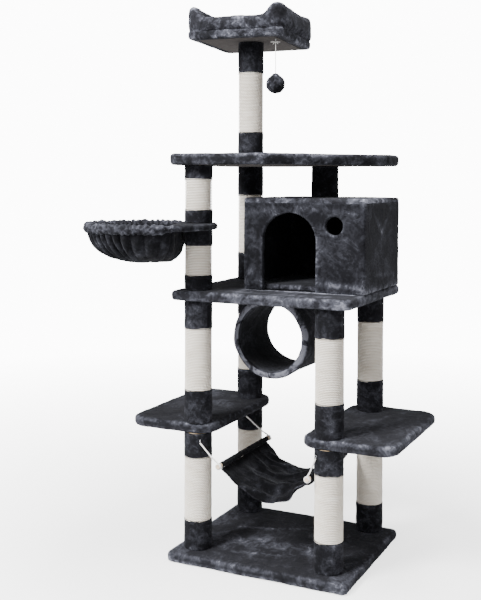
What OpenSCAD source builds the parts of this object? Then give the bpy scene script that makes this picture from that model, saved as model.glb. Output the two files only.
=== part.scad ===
// Tall cat tree: two stacked columns of posts carry plush-covered platforms, a house, a tunnel,
// a gathered basket, a hammock, a top perch and a hanging ball. Millimetres, +Z up.
// The origin is the centre of the base's underside.

/* [Platforms] */
// Width of the base and of the middle platform
base_w = 600; // [500:10:720]
// Depth of the base and of the middle platform
base_d = 520; // [450:10:630]
// Thickness of the board inside every platform
board_t = 18; // [12:1:24]
// Thickness of the padding and plush on top of a board
top_t = 10; // [6:1:14]
// Thickness of the plush around a board's edge
plush_t = 8; // [4:1:12]
// Thickness of the felt and of the plush hem under a board
felt_t = 4; // [2:0.5:6]
// Width of the hem that turns under a board
hem_w = 30; // [20:1:40]
// Corner radius of the base
base_corner_r = 18; // [12:1:30]
// Corner radius of the middle platform
mid_corner_r = 26; // [16:1:40]
// Distance that the middle platform stands back from the base's centre
mid_back = 22; // [0:1:40]

/* [Side shelves] */
// Width of a side shelf
shelf_w = 298; // [240:2:360]
// Depth of a side shelf
shelf_d = 506; // [430:2:600]
// Corner radius of a side shelf
shelf_corner_r = 58; // [45:1:80]
// Distance from the left posts' axis to the left shelf's inner edge
left_shelf_inner = 62; // [50:1:90]
// Distance from the right posts' axis to the right shelf's inner edge
right_shelf_inner = 83; // [50:1:100]
// Distance that the front sleeves stand out before the shelves' front edge
sleeve_stand_out = 1.5; // [0:0.5:6]

/* [Upper platform] */
// Extra padding on top of the upper platform
upper_extra_t = 4; // [0:1:8]
// Width that the front edge keeps before the cut corner
upper_front_w = 335; // [260:5:420]
// Depth of the right edge behind the cut corner
upper_side_d = 150; // [100:5:220]
// Corner radius of the upper platform
upper_corner_r = 45; // [20:1:60]

/* [Posts] */
// Outer radius of a post's cardboard tube
tube_r = 38; // [30:1:46]
// Wall of a post's tube
tube_wall = 4; // [3:0.5:6]
// Thickness of the sisal rope wrap
sisal_t = 4; // [3:0.5:6]
// Thickness of the plush sleeves
sleeve_t = 6.5; // [4:0.5:8]
// Thickness of the wooden plug in each end of a tube
plug_t = 20; // [16:1:30]
// Length of the posts between the base and the side shelves
lower_post_len = 371; // [310:1:450]
// Length of the posts between the side shelves and the middle platform
middle_post_len = 388; // [330:1:470]
// Height from the middle platform to the upper platform
upper_post_len = 394; // [360:1:475]
// Length of the post under the perch
perch_post_len = 400; // [330:1:480]
// Length of the short post under the basket
basket_post_len = 190; // [160:1:230]
// Lower and upper sleeve of the lower posts
lower_sleeves = [92, 77]; // [30:1:120]
// Lower and upper sleeve of the middle posts
middle_sleeves = [102, 89]; // [30:1:120]
// Lower and upper sleeve of the rear left upper post
rear_upper_sleeves = [92, 98]; // [30:1:120]
// Lower and upper sleeve of the post under the basket
under_basket_sleeves = [46, 48]; // [20:1:60]
// Lower and upper sleeve of the post over the basket
over_basket_sleeves = [40, 43]; // [20:1:60]
// Lower and upper sleeve of the perch post
perch_sleeves = [84, 107]; // [30:1:120]
// Distance from the base's left side to the left posts' axis
left_inset = 70; // [60:1:90]
// Distance from the base's right side to the right posts' axis
right_inset = 86; // [60:1:100]
// Distance from the base's front to the front posts' axis
front_inset = 88; // [60:1:110]
// Distance from the base's rear to the rear posts' axis
rear_inset = 44; // [44:1:80]

/* [Fasteners] */
// Radius of the studs and bolts
stud_r = 4; // [3:0.5:5]
// Radial clearance of the holes around them
stud_gap = 0.1; // [0.05:0.01:0.2]
// Depth that a stud or bolt reaches into a plug
stud_grip = 14; // [10:1:16]
// Radius of a bolt's head
head_r = 9; // [7:0.5:11]
// Height of a bolt's head
head_t = 5; // [3:0.5:6]

/* [House] */
// Width of the house
house_w = 404; // [340:2:480]
// Depth of the house
house_d = 366; // [310:2:430]
// Height of the house
house_h = 292; // [250:1:340]
// Thickness of a covered house panel
panel_t = 20; // [12:1:26]
// Distance from the house's left side to the doorway's centre line
door_x = 156; // [130:1:190]
// Radius of the doorway's arch
door_r = 89; // [70:1:100]
// Height of the doorway
door_h = 245; // [205:1:252]
// Radius of the porthole
porthole_r = 27.5; // [20:0.5:35]
// Porthole's distance from the house's left side and its height
porthole_at = [306, 207]; // [150:1:340]
// Distance from the house's right side to the roof post
roof_post_inset = 223; // [120:1:300]
// Distance that the roof post stands behind the house's middle
roof_post_back = 70; // [0:1:110]

/* [Tunnel] */
// Outer radius of the tunnel
tunnel_r = 131; // [105:1:158]
// Thickness of the tunnel's wall with its lining
tunnel_wall = 9; // [5:0.5:14]
// Length of the tunnel
tunnel_len = 238; // [190:1:290]
// Distance from the base's centre to the tunnel's front
tunnel_front = 30; // [0:1:60]
// Gap between the tunnel and the rear left post
tunnel_gap = 9.5; // [4:0.5:20]

/* [Basket] */
// Radius of the basket's hoop to the wire's centre
hoop_r = 200; // [165:1:240]
// Radius of the hoop's steel wire
wire_r = 4; // [3:0.5:6]
// Radius of the plush around the hoop
hoop_plush_r = 11; // [9:0.5:14]
// Distance from the post's axis to the hoop's centre
hoop_reach = 150; // [125:1:180]
// Angle by which the basket is swung to the front
basket_turn = 22; // [-20:1:60]
// Thickness of the basket's mounting board
hoop_board_t = 14; // [9:1:18]
// Depth of the bag below the hoop
bag_depth = 116; // [95:1:140]
// Thickness of the bag's cloth
bag_t = 6; // [3:0.5:8]
// Gap between the post and the bag
bag_gap = 17; // [8:1:30]
// Gap between the bag and the plush around the hoop
bag_seam_gap = 0.2; // [0.1:0.05:0.5]
// Distance that the board reaches past the bag's back, and its plush past the board
board_overlap = 4; // [2:0.5:8]
// Play above and below the basket's board
swivel_gap = 0.3; // [0.1:0.1:0.6]

/* [Hammock] */
// Radius of the hammock's dowels
dowel_r = 6; // [4:0.5:8]
// Distance from the left posts' rope to the left dowel's axis
left_dowel_in = 53; // [38:1:88]
// Distance from the right posts' rope to the right dowel's axis
right_dowel_in = 11; // [11:1:38]
// Drop of the dowels below the eye screws
cord_drop = 72; // [60:1:90]
// Distance of the eye screws below the side shelves
eye_below_shelf = 20; // [14:1:30]
// Length of a dowel past the cord's knot
dowel_end = 6; // [5:1:12]
// Sag of the cloth below the dowels
cloth_sag = 78; // [60:1:95]
// Thickness of the cloth
cloth_t = 5; // [3:0.5:8]
// Bare length at each end of a dowel
dowel_bare = 22; // [18:1:40]
// Radius of the hammock's cords
cord_r = 2.2; // [1.5:0.1:3]

/* [Perch] */
// Width of the perch
perch_w = 333; // [280:1:400]
// Depth of the perch
perch_d = 400; // [335:1:480]
// Corner radius of the perch
perch_corner_r = 24; // [12:1:40]
// Angle by which the perch is turned on its post
perch_turn = 6.5; // [-10:0.5:15]
// Offset of the perch's centre from its post
perch_offset = [-20, 48]; // [-60:1:60]
// Height of the rim above the perch's cover
rim_h = 83; // [70:1:100]
// Height of the rim's dip at the front
rim_front_h = 44; // [30:1:60]
// Thickness of the rim
rim_t = 42; // [30:1:55]
// Width of each front ear at its top
ear_w = 24; // [16:1:60]
// Radius of the rim's corners on the inside
rim_inner_r = 12; // [6:1:20]

/* [Toy] */
// Radius of the toy ball
ball_r = 32.5; // [27:0.5:39]
// Length of the toy's cord
toy_cord_len = 108; // [90:1:130]
// Radius of the toy's cord
toy_cord_r = 1.25; // [1:0.05:2]
// Toy's place from the perch's right and front edges
toy_inset = [36, 68]; // [34:1:120]

/* [Hidden] */
$fn = 64;
EPS = 0.5;
LEFT_X = -base_w / 2 + left_inset;
RIGHT_X = base_w / 2 - right_inset;
FRONT_Y = -base_d / 2 + front_inset;
REAR_Y = base_d / 2 - rear_inset;
SLEEVE_R = tube_r + sleeve_t;
SLAB_T = felt_t + board_t + top_t;
UPPER_T = SLAB_T + upper_extra_t;
SHELF_Z = SLAB_T + lower_post_len;
SHELF_TOP = SHELF_Z + SLAB_T;
MID_Z = SHELF_TOP + middle_post_len;
MID_TOP = MID_Z + SLAB_T;
UPPER_Z = MID_TOP + upper_post_len;
UPPER_TOP = UPPER_Z + UPPER_T;
PERCH_Z = UPPER_TOP + perch_post_len;
PERCH_TOP = PERCH_Z + SLAB_T;
BORE_R = stud_r + stud_gap;
HEAD_PLAY = 1;
HEM_CORNER_R = 6;

// Outlines of the platforms, anticlockwise from the front left corner
function rect(x0, y0, x1, y1) = [[x0, y0], [x1, y0], [x1, y1], [x0, y1]];
SHELF_FRONT = FRONT_Y - SLEEVE_R + sleeve_stand_out;
LEFT_SHELF_X = LEFT_X + left_shelf_inner;
RIGHT_SHELF_X = RIGHT_X - right_shelf_inner;
MID_X = base_w / 2 - 2;
MID_REAR = base_d / 2 + mid_back;
BASE_OUTLINE = rect(-base_w / 2, -base_d / 2, base_w / 2, base_d / 2);
LEFT_OUTLINE = rect(LEFT_SHELF_X - shelf_w, SHELF_FRONT, LEFT_SHELF_X, SHELF_FRONT + shelf_d);
RIGHT_OUTLINE = rect(RIGHT_SHELF_X, SHELF_FRONT, RIGHT_SHELF_X + shelf_w, SHELF_FRONT + shelf_d);
MID_OUTLINE = rect(MID_X - base_w, MID_REAR - base_d, MID_X, MID_REAR);
UPPER_LEFT = -base_w / 2 - 2;
UPPER_RIGHT = base_w / 2 + 6;
UPPER_OUTLINE = [
    [UPPER_LEFT, -base_d / 2],
    [UPPER_LEFT + upper_front_w, -base_d / 2],
    [UPPER_RIGHT, base_d / 2 - upper_side_d],
    [UPPER_RIGHT, base_d / 2],
    [UPPER_LEFT, base_d / 2]
];
PERCH_OUTLINE = rect(-perch_w / 2, -perch_d / 2, perch_w / 2, perch_d / 2);
PERCH_AT = [LEFT_X + perch_offset[0], REAR_Y + perch_offset[1]];

// House
HOUSE_X0 = MID_X - house_w;
HOUSE_Y1 = MID_REAR - panel_t;
HOUSE_Y0 = HOUSE_Y1 - house_d;
HOUSE_TOP = MID_TOP + house_h;
ROOF_POST = [MID_X - roof_post_inset, (HOUSE_Y0 + HOUSE_Y1) / 2 + roof_post_back];

// Basket: its own frame has its origin on the post's axis and +X towards the hoop's centre
BOARD_SINK = 0.3;
BASKET_T = 2 * (hoop_plush_r - BOARD_SINK);
BASKET_Z = MID_TOP + basket_post_len + swivel_gap + BASKET_T / 2;
OVER_BASKET_Z = BASKET_Z + BASKET_T / 2 + swivel_gap;
BAG_CHORD = SLEEVE_R + bag_gap;
BOARD_CHORD = BAG_CHORD + board_overlap;
ARM_CHORD = BOARD_CHORD + board_overlap;

// Every post: x, y, height of its foot, length, [lower sleeve, upper sleeve]
function post(x, y, z, length, sleeves) = [x, y, z, length, sleeves];
FRONT_LEFT_LOWER = post(LEFT_X, FRONT_Y, SLAB_T, lower_post_len, lower_sleeves);
REAR_LEFT_LOWER = post(LEFT_X, REAR_Y, SLAB_T, lower_post_len, lower_sleeves);
FRONT_RIGHT_LOWER = post(RIGHT_X, FRONT_Y, SLAB_T, lower_post_len, lower_sleeves);
REAR_RIGHT_LOWER = post(RIGHT_X, REAR_Y, SLAB_T, lower_post_len, lower_sleeves);
FRONT_LEFT_MIDDLE = post(LEFT_X, FRONT_Y, SHELF_TOP, middle_post_len, middle_sleeves);
REAR_LEFT_MIDDLE = post(LEFT_X, REAR_Y, SHELF_TOP, middle_post_len, middle_sleeves);
FRONT_RIGHT_MIDDLE = post(RIGHT_X, FRONT_Y, SHELF_TOP, middle_post_len, middle_sleeves);
REAR_RIGHT_MIDDLE = post(RIGHT_X, REAR_Y, SHELF_TOP, middle_post_len, middle_sleeves);
UNDER_BASKET = post(LEFT_X, FRONT_Y, MID_TOP, basket_post_len, under_basket_sleeves);
OVER_BASKET = post(LEFT_X, FRONT_Y, OVER_BASKET_Z, UPPER_Z - OVER_BASKET_Z, over_basket_sleeves);
REAR_LEFT_UPPER = post(LEFT_X, REAR_Y, MID_TOP, upper_post_len, rear_upper_sleeves);
PERCH_POST = post(LEFT_X, REAR_Y, UPPER_TOP, perch_post_len, perch_sleeves);
ROOF_POST_ALL = post(ROOF_POST[0], ROOF_POST[1], HOUSE_TOP, UPPER_Z - HOUSE_TOP, [0, 0]);
FRONT_LEFT = [FRONT_LEFT_LOWER, FRONT_LEFT_MIDDLE, UNDER_BASKET, OVER_BASKET];
REAR_LEFT = [REAR_LEFT_LOWER, REAR_LEFT_MIDDLE, REAR_LEFT_UPPER, PERCH_POST];
FRONT_RIGHT = [FRONT_RIGHT_LOWER, FRONT_RIGHT_MIDDLE];
REAR_RIGHT = [REAR_RIGHT_LOWER, REAR_RIGHT_MIDDLE];
ALL_POSTS = concat(FRONT_LEFT, REAR_LEFT, FRONT_RIGHT, REAR_RIGHT, [ROOF_POST_ALL]);

// Studs join two posts through a slab: x, y, foot of the slab, slab thickness
STUDS = [
    [LEFT_X, FRONT_Y, SHELF_Z, SLAB_T],
    [LEFT_X, REAR_Y, SHELF_Z, SLAB_T],
    [RIGHT_X, FRONT_Y, SHELF_Z, SLAB_T],
    [RIGHT_X, REAR_Y, SHELF_Z, SLAB_T],
    [LEFT_X, FRONT_Y, MID_Z, SLAB_T],
    [LEFT_X, REAR_Y, MID_Z, SLAB_T],
    [LEFT_X, FRONT_Y, BASKET_Z - BASKET_T / 2 - swivel_gap, BASKET_T + 2 * swivel_gap],
    [LEFT_X, REAR_Y, UPPER_Z, UPPER_T]
];
// Bolts hold a post's end to a board: x, y, outer end of the head, tip of the shank
BASE_HEAD_Z = felt_t;
TOP_HEAD = felt_t + board_t;
TUNNEL_X = LEFT_X + SLEEVE_R + tunnel_gap + tunnel_r;
TUNNEL_Z = MID_Z - tunnel_r;
TUNNEL_LINING_R = tunnel_r - plush_t - tunnel_wall;
TUNNEL_BOLT_INSET = 47.6;
TUNNEL_BOLT_Y = [TUNNEL_BOLT_INSET - tunnel_front, tunnel_len - TUNNEL_BOLT_INSET - tunnel_front];
TUNNEL_HEAD_Z = TUNNEL_Z + TUNNEL_LINING_R - head_t;
BASE_BOLTS = [
    for (x = [LEFT_X, RIGHT_X], y = [FRONT_Y, REAR_Y])
        [x, y, BASE_HEAD_Z, SLAB_T + stud_grip]
];
MID_BOLTS = [for (y = [FRONT_Y, REAR_Y]) [RIGHT_X, y, MID_Z + TOP_HEAD, MID_Z - stud_grip]];
UPPER_BOLTS = [
    [LEFT_X, FRONT_Y, UPPER_Z + TOP_HEAD, UPPER_Z - stud_grip],
    [ROOF_POST[0], ROOF_POST[1], UPPER_Z + TOP_HEAD, UPPER_Z - stud_grip]
];
ROOF_BOLTS = [[ROOF_POST[0], ROOF_POST[1], HOUSE_TOP - panel_t, HOUSE_TOP + stud_grip]];
PERCH_BOLTS = [[LEFT_X, REAR_Y, PERCH_Z + TOP_HEAD, PERCH_Z - stud_grip]];
TUNNEL_BOLTS = [for (y = TUNNEL_BOLT_Y) [TUNNEL_X, y, TUNNEL_HEAD_Z, MID_Z + felt_t + board_t / 2]];
ALL_BOLTS = concat(BASE_BOLTS, MID_BOLTS, UPPER_BOLTS, ROOF_BOLTS, PERCH_BOLTS, TUNNEL_BOLTS);

// Hammock: an eye screw on each lower post, turned inwards by an angle from the front
EYE_R = 3.5;
EYE_WIRE_R = 1;
EYE_SHANK = 11;
EYE_OUT = SLEEVE_R + EYE_R + EYE_WIRE_R;
EYE_Z = SHELF_Z - eye_below_shelf;
FRONT_EYE_ANGLE = 35;
REAR_EYE_ANGLE = 10;
KNOT_STEP_Y = -3;
DOWEL_Z = EYE_Z - cord_drop;
ROPE_R = tube_r + sisal_t;
LEFT_DOWEL_X = LEFT_X + ROPE_R + left_dowel_in;
RIGHT_DOWEL_X = RIGHT_X - ROPE_R - right_dowel_in;
// x and y of an eye, from its post's x and y, the side that it faces and its angle
function eye_at(x, y, side, angle) = [x + side * EYE_OUT * sin(angle), y - EYE_OUT * cos(angle)];
FRONT_LEFT_EYE = eye_at(LEFT_X, FRONT_Y, 1, FRONT_EYE_ANGLE);
FRONT_RIGHT_EYE = eye_at(RIGHT_X, FRONT_Y, -1, FRONT_EYE_ANGLE);
REAR_LEFT_EYE = eye_at(LEFT_X, REAR_Y, 1, REAR_EYE_ANGLE);
REAR_RIGHT_EYE = eye_at(RIGHT_X, REAR_Y, -1, REAR_EYE_ANGLE);
FRONT_KNOT_Y = FRONT_LEFT_EYE[1] + KNOT_STEP_Y;
REAR_KNOT_Y = REAR_LEFT_EYE[1] + KNOT_STEP_Y;
DOWEL_Y0 = FRONT_KNOT_Y - dowel_end;
DOWEL_Y1 = REAR_KNOT_Y + dowel_end;
DOWEL_GAP = 0.2;
CLOTH_SPAN = RIGHT_DOWEL_X - LEFT_DOWEL_X;
CLOTH_R = (CLOTH_SPAN * CLOTH_SPAN / 4 + cloth_sag * cloth_sag) / (2 * cloth_sag);
LOOP_WALL = cloth_t - 1.7;
LOOP_R = dowel_r + DOWEL_GAP + LOOP_WALL;

// Toy, in the perch's own frame
TOY_AT = [perch_w / 2 - toy_inset[0], -perch_d / 2 + toy_inset[1]];
TOY_EYE_DROP = 5;
TOY_EYE_Z = PERCH_Z - TOY_EYE_DROP;
TOY_KNOT_R = 2.5;
KNOT_PLAY = 0.3;
TOY_PIVOT_Z = TOY_EYE_Z - EYE_R - EYE_WIRE_R - KNOT_PLAY - TOY_KNOT_R;
BALL_Z = TOY_PIVOT_Z - TOY_KNOT_R - toy_cord_len - ball_r;

PLUSH = "#3c3e44";
SISAL = "#e6dfd2";
CARD = "#b59a73";
WOOD = "#cfb48c";
FELT = "#77716f";
STEEL = "#b9bcc0";
CORD = "#f0efec";

function unit(v) = v / norm(v);
function left_of(v) = [-v[1], v[0]];
// An anticlockwise outline moved inwards by d
function inset_outline(pts, d) = [
    for (i = [0:len(pts) - 1])
        let (
            before = pts[(i + len(pts) - 1) % len(pts)],
            after = pts[(i + 1) % len(pts)],
            n = left_of(unit(pts[i] - before)),
            m = left_of(unit(after - pts[i]))
        )
        pts[i] + (n + m) * d / (1 + n * m)
];
// The same outline with every corner rounded to radius r
function rounded_outline(pts, r, steps = 8) = [
    for (i = [0:len(pts) - 1])
        let (
            u = unit(pts[(i + len(pts) - 1) % len(pts)] - pts[i]),
            v = unit(pts[(i + 1) % len(pts)] - pts[i]),
            half = acos(u * v) / 2,
            centre = pts[i] + unit(u + v) * r / sin(half),
            start = pts[i] + u * r / tan(half) - centre,
            angle = atan2(start[1], start[0])
        )
        for (k = [0:steps])
            let (a = angle + (180 - 2 * half) * k / steps)
            centre + r * [cos(a), sin(a)]
];

module plate(outline, r, z, t) {
    translate([0, 0, z])
        linear_extrude(t)
            polygon(rounded_outline(outline, r));
}
module drill(x, y, r, z0, z1) {
    translate([x, y, z0 - EPS])
        cylinder(r = r, h = z1 - z0 + 2 * EPS);
}
module ring(r, wall, z, h) {
    translate([0, 0, z])
        difference() {
            cylinder(r = r, h = h);
            translate([0, 0, -EPS])
                cylinder(r = r - wall, h = h + 2 * EPS);
        }
}
// Clearance holes of every stud and bolt that crosses a platform whose foot is at z
module stud_holes(z) {
    for (s = STUDS)
        if (s[2] == z) drill(s[0], s[1], BORE_R, z, z + UPPER_T);
}
module bolt_holes(bolts) {
    for (b = bolts) {
        up = b[3] > b[2];
        drill(b[0], b[1], BORE_R, min(b[2], b[3]), max(b[2], b[3]));
        head_z = up ? b[2] - 2 * head_t : b[2] - head_t;
        translate([b[0], b[1], head_z])
            cylinder(r = head_r + HEAD_PLAY, h = 3 * head_t);
    }
}
// A head's recess reaches the board's face that it is sunk from, and no further
module board(outline, r, z, bolts = []) {
    color(WOOD)
        difference() {
            plate(inset_outline(outline, plush_t), r - plush_t, z + felt_t, board_t);
            stud_holes(z);
            bolt_holes(bolts);
        }
}
module cover(outline, r, z, top, bolts = []) {
    color(PLUSH)
        difference() {
            plate(outline, r, z, felt_t + board_t + top);
            plate(inset_outline(outline, plush_t), r - plush_t, z + felt_t, board_t);
            plate(inset_outline(outline, hem_w), max(r - hem_w, HEM_CORNER_R), z - EPS, felt_t + 2 * EPS);
            stud_holes(z);
            for (b = bolts) drill(b[0], b[1], BORE_R, z, z + SLAB_T);
        }
}
module felt(outline, r, z, bolts = [], hole_r = BORE_R) {
    color(FELT)
        difference() {
            plate(inset_outline(outline, hem_w), max(r - hem_w, HEM_CORNER_R), z, felt_t);
            stud_holes(z);
            for (b = bolts) drill(b[0], b[1], hole_r, z, z + felt_t);
        }
}

// Platforms
module base_board() { board(BASE_OUTLINE, base_corner_r, 0, BASE_BOLTS); }
module base_cover() { cover(BASE_OUTLINE, base_corner_r, 0, top_t, BASE_BOLTS); }
module left_shelf_board() { board(LEFT_OUTLINE, shelf_corner_r, SHELF_Z); }
module left_shelf_cover() { cover(LEFT_OUTLINE, shelf_corner_r, SHELF_Z, top_t); }
module right_shelf_board() { board(RIGHT_OUTLINE, shelf_corner_r, SHELF_Z); }
module right_shelf_cover() { cover(RIGHT_OUTLINE, shelf_corner_r, SHELF_Z, top_t); }
module middle_board() {
    difference() {
        board(MID_OUTLINE, mid_corner_r, MID_Z, MID_BOLTS);
        for (b = TUNNEL_BOLTS) drill(b[0], b[1], BORE_R, MID_Z, b[3] - EPS);
    }
}
module middle_cover() { cover(MID_OUTLINE, mid_corner_r, MID_Z, top_t); }
module upper_board() { board(UPPER_OUTLINE, upper_corner_r, UPPER_Z, UPPER_BOLTS); }
module upper_cover() {
    cover(UPPER_OUTLINE, upper_corner_r, UPPER_Z, top_t + upper_extra_t);
}
module on_perch() {
    translate([PERCH_AT[0], PERCH_AT[1], 0])
        rotate(perch_turn)
            children();
}
module perch_board() {
    color(WOOD)
        difference() {
            on_perch()
                plate(
                    inset_outline(PERCH_OUTLINE, plush_t),
                    perch_corner_r - plush_t,
                    PERCH_Z + felt_t,
                    board_t
                );
            bolt_holes(PERCH_BOLTS);
            eye_space(TOY_EYE);
        }
}
module perch_cover() {
    on_perch()
        cover(PERCH_OUTLINE, perch_corner_r, PERCH_Z, top_t);
}
module perch_rim() {
    slope = rim_h - rim_front_h;
    color(PLUSH)
        on_perch()
            difference() {
                plate(PERCH_OUTLINE, perch_corner_r, PERCH_TOP, rim_h);
                plate(inset_outline(PERCH_OUTLINE, rim_t), rim_inner_r, PERCH_TOP - EPS, rim_h + 2 * EPS);
                translate([0, -perch_d / 2 + rim_t + EPS, PERCH_TOP + rim_front_h])
                    rotate([90, 0, 0])
                        linear_extrude(rim_t + 2 * EPS)
                            polygon([
                                [-perch_w / 2 + ear_w + slope, 0],
                                [perch_w / 2 - ear_w - slope, 0],
                                [perch_w / 2 - ear_w + EPS, slope + EPS],
                                [-perch_w / 2 + ear_w - EPS, slope + EPS]
                            ]);
            }
}
module underside_felts() {
    felt(BASE_OUTLINE, base_corner_r, 0, BASE_BOLTS, head_r + HEAD_PLAY);
    felt(LEFT_OUTLINE, shelf_corner_r, SHELF_Z);
    felt(RIGHT_OUTLINE, shelf_corner_r, SHELF_Z);
    felt(MID_OUTLINE, mid_corner_r, MID_Z, concat(MID_BOLTS, TUNNEL_BOLTS));
    felt(UPPER_OUTLINE, upper_corner_r, UPPER_Z, UPPER_BOLTS);
    difference() {
        on_perch() felt(PERCH_OUTLINE, perch_corner_r, PERCH_Z);
        for (b = PERCH_BOLTS) drill(b[0], b[1], BORE_R, PERCH_Z, PERCH_Z + felt_t);
        eye_space(TOY_EYE);
    }
}

// Posts
module tubes(posts) {
    color(CARD)
        for (p = posts)
            translate([p[0], p[1], 0])
                ring(tube_r, tube_wall, p[2], p[3]);
}
module sisal(p) {
    color(SISAL)
        translate([p[0], p[1], 0])
            ring(ROPE_R, sisal_t, p[2] + p[4][0], p[3] - p[4][0] - p[4][1]);
}
module sleeves(posts) {
    color(PLUSH)
        difference() {
            for (p = posts)
                translate([p[0], p[1], 0]) {
                    ring(SLEEVE_R, sleeve_t, p[2], p[4][0]);
                    ring(SLEEVE_R, sleeve_t, p[2] + p[3] - p[4][1], p[4][1]);
                }
            for (e = HAMMOCK_EYES) eye_space(e);
        }
}
module front_left_tubes() { eyed_tubes(FRONT_LEFT); }
module rear_left_tubes() { eyed_tubes(REAR_LEFT); }
module front_right_tubes() { eyed_tubes(FRONT_RIGHT); }
module rear_right_tubes() { eyed_tubes(REAR_RIGHT); }
module eyed_tubes(posts) {
    difference() {
        tubes(posts);
        for (e = HAMMOCK_EYES) eye_space(e);
    }
}
module roof_post_tube() { tubes([ROOF_POST_ALL]); }
module front_left_sleeves() { sleeves(FRONT_LEFT); }
module rear_left_sleeves() { sleeves(REAR_LEFT); }
module front_right_sleeves() { sleeves(FRONT_RIGHT); }
module rear_right_sleeves() { sleeves(REAR_RIGHT); }
module roof_post_sleeve() {
    color(PLUSH)
        translate([ROOF_POST[0], ROOF_POST[1], 0])
            ring(SLEEVE_R, sleeve_t, ROOF_POST_ALL[2], ROOF_POST_ALL[3]);
}
module tube_end_plugs() {
    color(WOOD)
        for (p = ALL_POSTS, z = [p[2], p[2] + p[3] - plug_t])
            translate([p[0], p[1], 0])
                ring(tube_r - tube_wall, tube_r - tube_wall - BORE_R, z, plug_t);
}
module front_left_lower_sisal() { sisal(FRONT_LEFT_LOWER); }
module front_left_middle_sisal() { sisal(FRONT_LEFT_MIDDLE); }
module front_left_upper_sisal() {
    sisal(UNDER_BASKET);
    sisal(OVER_BASKET);
}
module rear_left_lower_sisal() { sisal(REAR_LEFT_LOWER); }
module rear_left_middle_sisal() { sisal(REAR_LEFT_MIDDLE); }
module rear_left_upper_sisal() { sisal(REAR_LEFT_UPPER); }
module perch_post_sisal() { sisal(PERCH_POST); }
module front_right_lower_sisal() { sisal(FRONT_RIGHT_LOWER); }
module front_right_middle_sisal() { sisal(FRONT_RIGHT_MIDDLE); }
module rear_right_lower_sisal() { sisal(REAR_RIGHT_LOWER); }
module rear_right_middle_sisal() { sisal(REAR_RIGHT_MIDDLE); }

// Fasteners
module threaded_studs() {
    color(STEEL)
        for (s = STUDS)
            translate([s[0], s[1], s[2] - stud_grip])
                cylinder(r = stud_r, h = s[3] + 2 * stud_grip);
}
module bolt(b) {
    up = b[3] > b[2];
    translate([b[0], b[1], up ? b[2] : b[2] - head_t])
        cylinder(r = head_r, h = head_t, $fn = 6);
    translate([b[0], b[1], min(b[2], b[3])])
        cylinder(r = stud_r, h = abs(b[3] - b[2]));
}
module platform_bolts() {
    color(STEEL)
        for (b = ALL_BOLTS) bolt(b);
}

// House
module house_front_panel() {
    spring_z = door_h - door_r;
    color(PLUSH)
        translate([HOUSE_X0, HOUSE_Y0 + panel_t, MID_TOP])
            rotate([90, 0, 0])
                linear_extrude(panel_t)
                    difference() {
                        square([house_w, house_h - panel_t]);
                        translate([door_x - door_r, -EPS])
                            square([2 * door_r, spring_z + EPS]);
                        translate([door_x, spring_z])
                            circle(r = door_r);
                        translate(porthole_at)
                            circle(r = porthole_r);
                    }
}
module house_wall(x, y, w, d, z, h) {
    color(PLUSH)
        translate([x, y, z])
            cube([w, d, h]);
}
INNER_D = house_d - 2 * panel_t;
WALL_H = house_h - panel_t;
module house_back_panel() {
    house_wall(HOUSE_X0, HOUSE_Y1 - panel_t, house_w, panel_t, MID_TOP, WALL_H);
}
module house_left_panel() {
    house_wall(HOUSE_X0, HOUSE_Y0 + panel_t, panel_t, INNER_D, MID_TOP, WALL_H);
}
module house_right_panel() {
    house_wall(MID_X - panel_t, HOUSE_Y0 + panel_t, panel_t, INNER_D, MID_TOP, WALL_H);
}
module house_floor() {
    house_wall(
        HOUSE_X0 + panel_t,
        HOUSE_Y0 + panel_t,
        house_w - 2 * panel_t,
        INNER_D,
        MID_TOP,
        panel_t
    );
}
module house_roof() {
    difference() {
        house_wall(HOUSE_X0, HOUSE_Y0, house_w, house_d, HOUSE_TOP - panel_t, panel_t);
        for (b = ROOF_BOLTS) {
            drill(b[0], b[1], BORE_R, b[2], HOUSE_TOP);
            drill(b[0], b[1], head_r + HEAD_PLAY, b[2], b[2] + head_t - EPS);
        }
    }
}

// Tunnel
module along_tunnel() {
    translate([TUNNEL_X, -tunnel_front, TUNNEL_Z])
        rotate([-90, 0, 0])
            children();
}
module tunnel_tube() {
    color(CARD)
        difference() {
            along_tunnel()
                ring(tunnel_r - plush_t, tunnel_wall, plush_t, tunnel_len - 2 * plush_t);
            tunnel_bolt_holes();
        }
}
module tunnel_cover() {
    color(PLUSH)
        difference() {
            along_tunnel()
                difference() {
                    cylinder(r = tunnel_r, h = tunnel_len);
                    translate([0, 0, -EPS])
                        cylinder(r = TUNNEL_LINING_R, h = tunnel_len + 2 * EPS);
                    translate([0, 0, plush_t])
                        cylinder(r = tunnel_r - plush_t, h = tunnel_len - 2 * plush_t);
                }
            tunnel_bolt_holes();
        }
}
module tunnel_bolt_holes() {
    for (b = TUNNEL_BOLTS) {
        drill(b[0], b[1], BORE_R, TUNNEL_HEAD_Z, MID_Z);
        drill(b[0], b[1], head_r + HEAD_PLAY / 2, TUNNEL_HEAD_Z - EPS, TUNNEL_HEAD_Z + head_t - EPS);
    }
}

// Basket
module on_basket() {
    translate([LEFT_X, FRONT_Y, BASKET_Z])
        rotate(180 + basket_turn)
            children();
}
module torus(r) {
    translate([hoop_reach, 0, 0])
        rotate_extrude($fn = 96)
            translate([hoop_r, 0])
                circle(r = r, $fn = 24);
}
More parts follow.
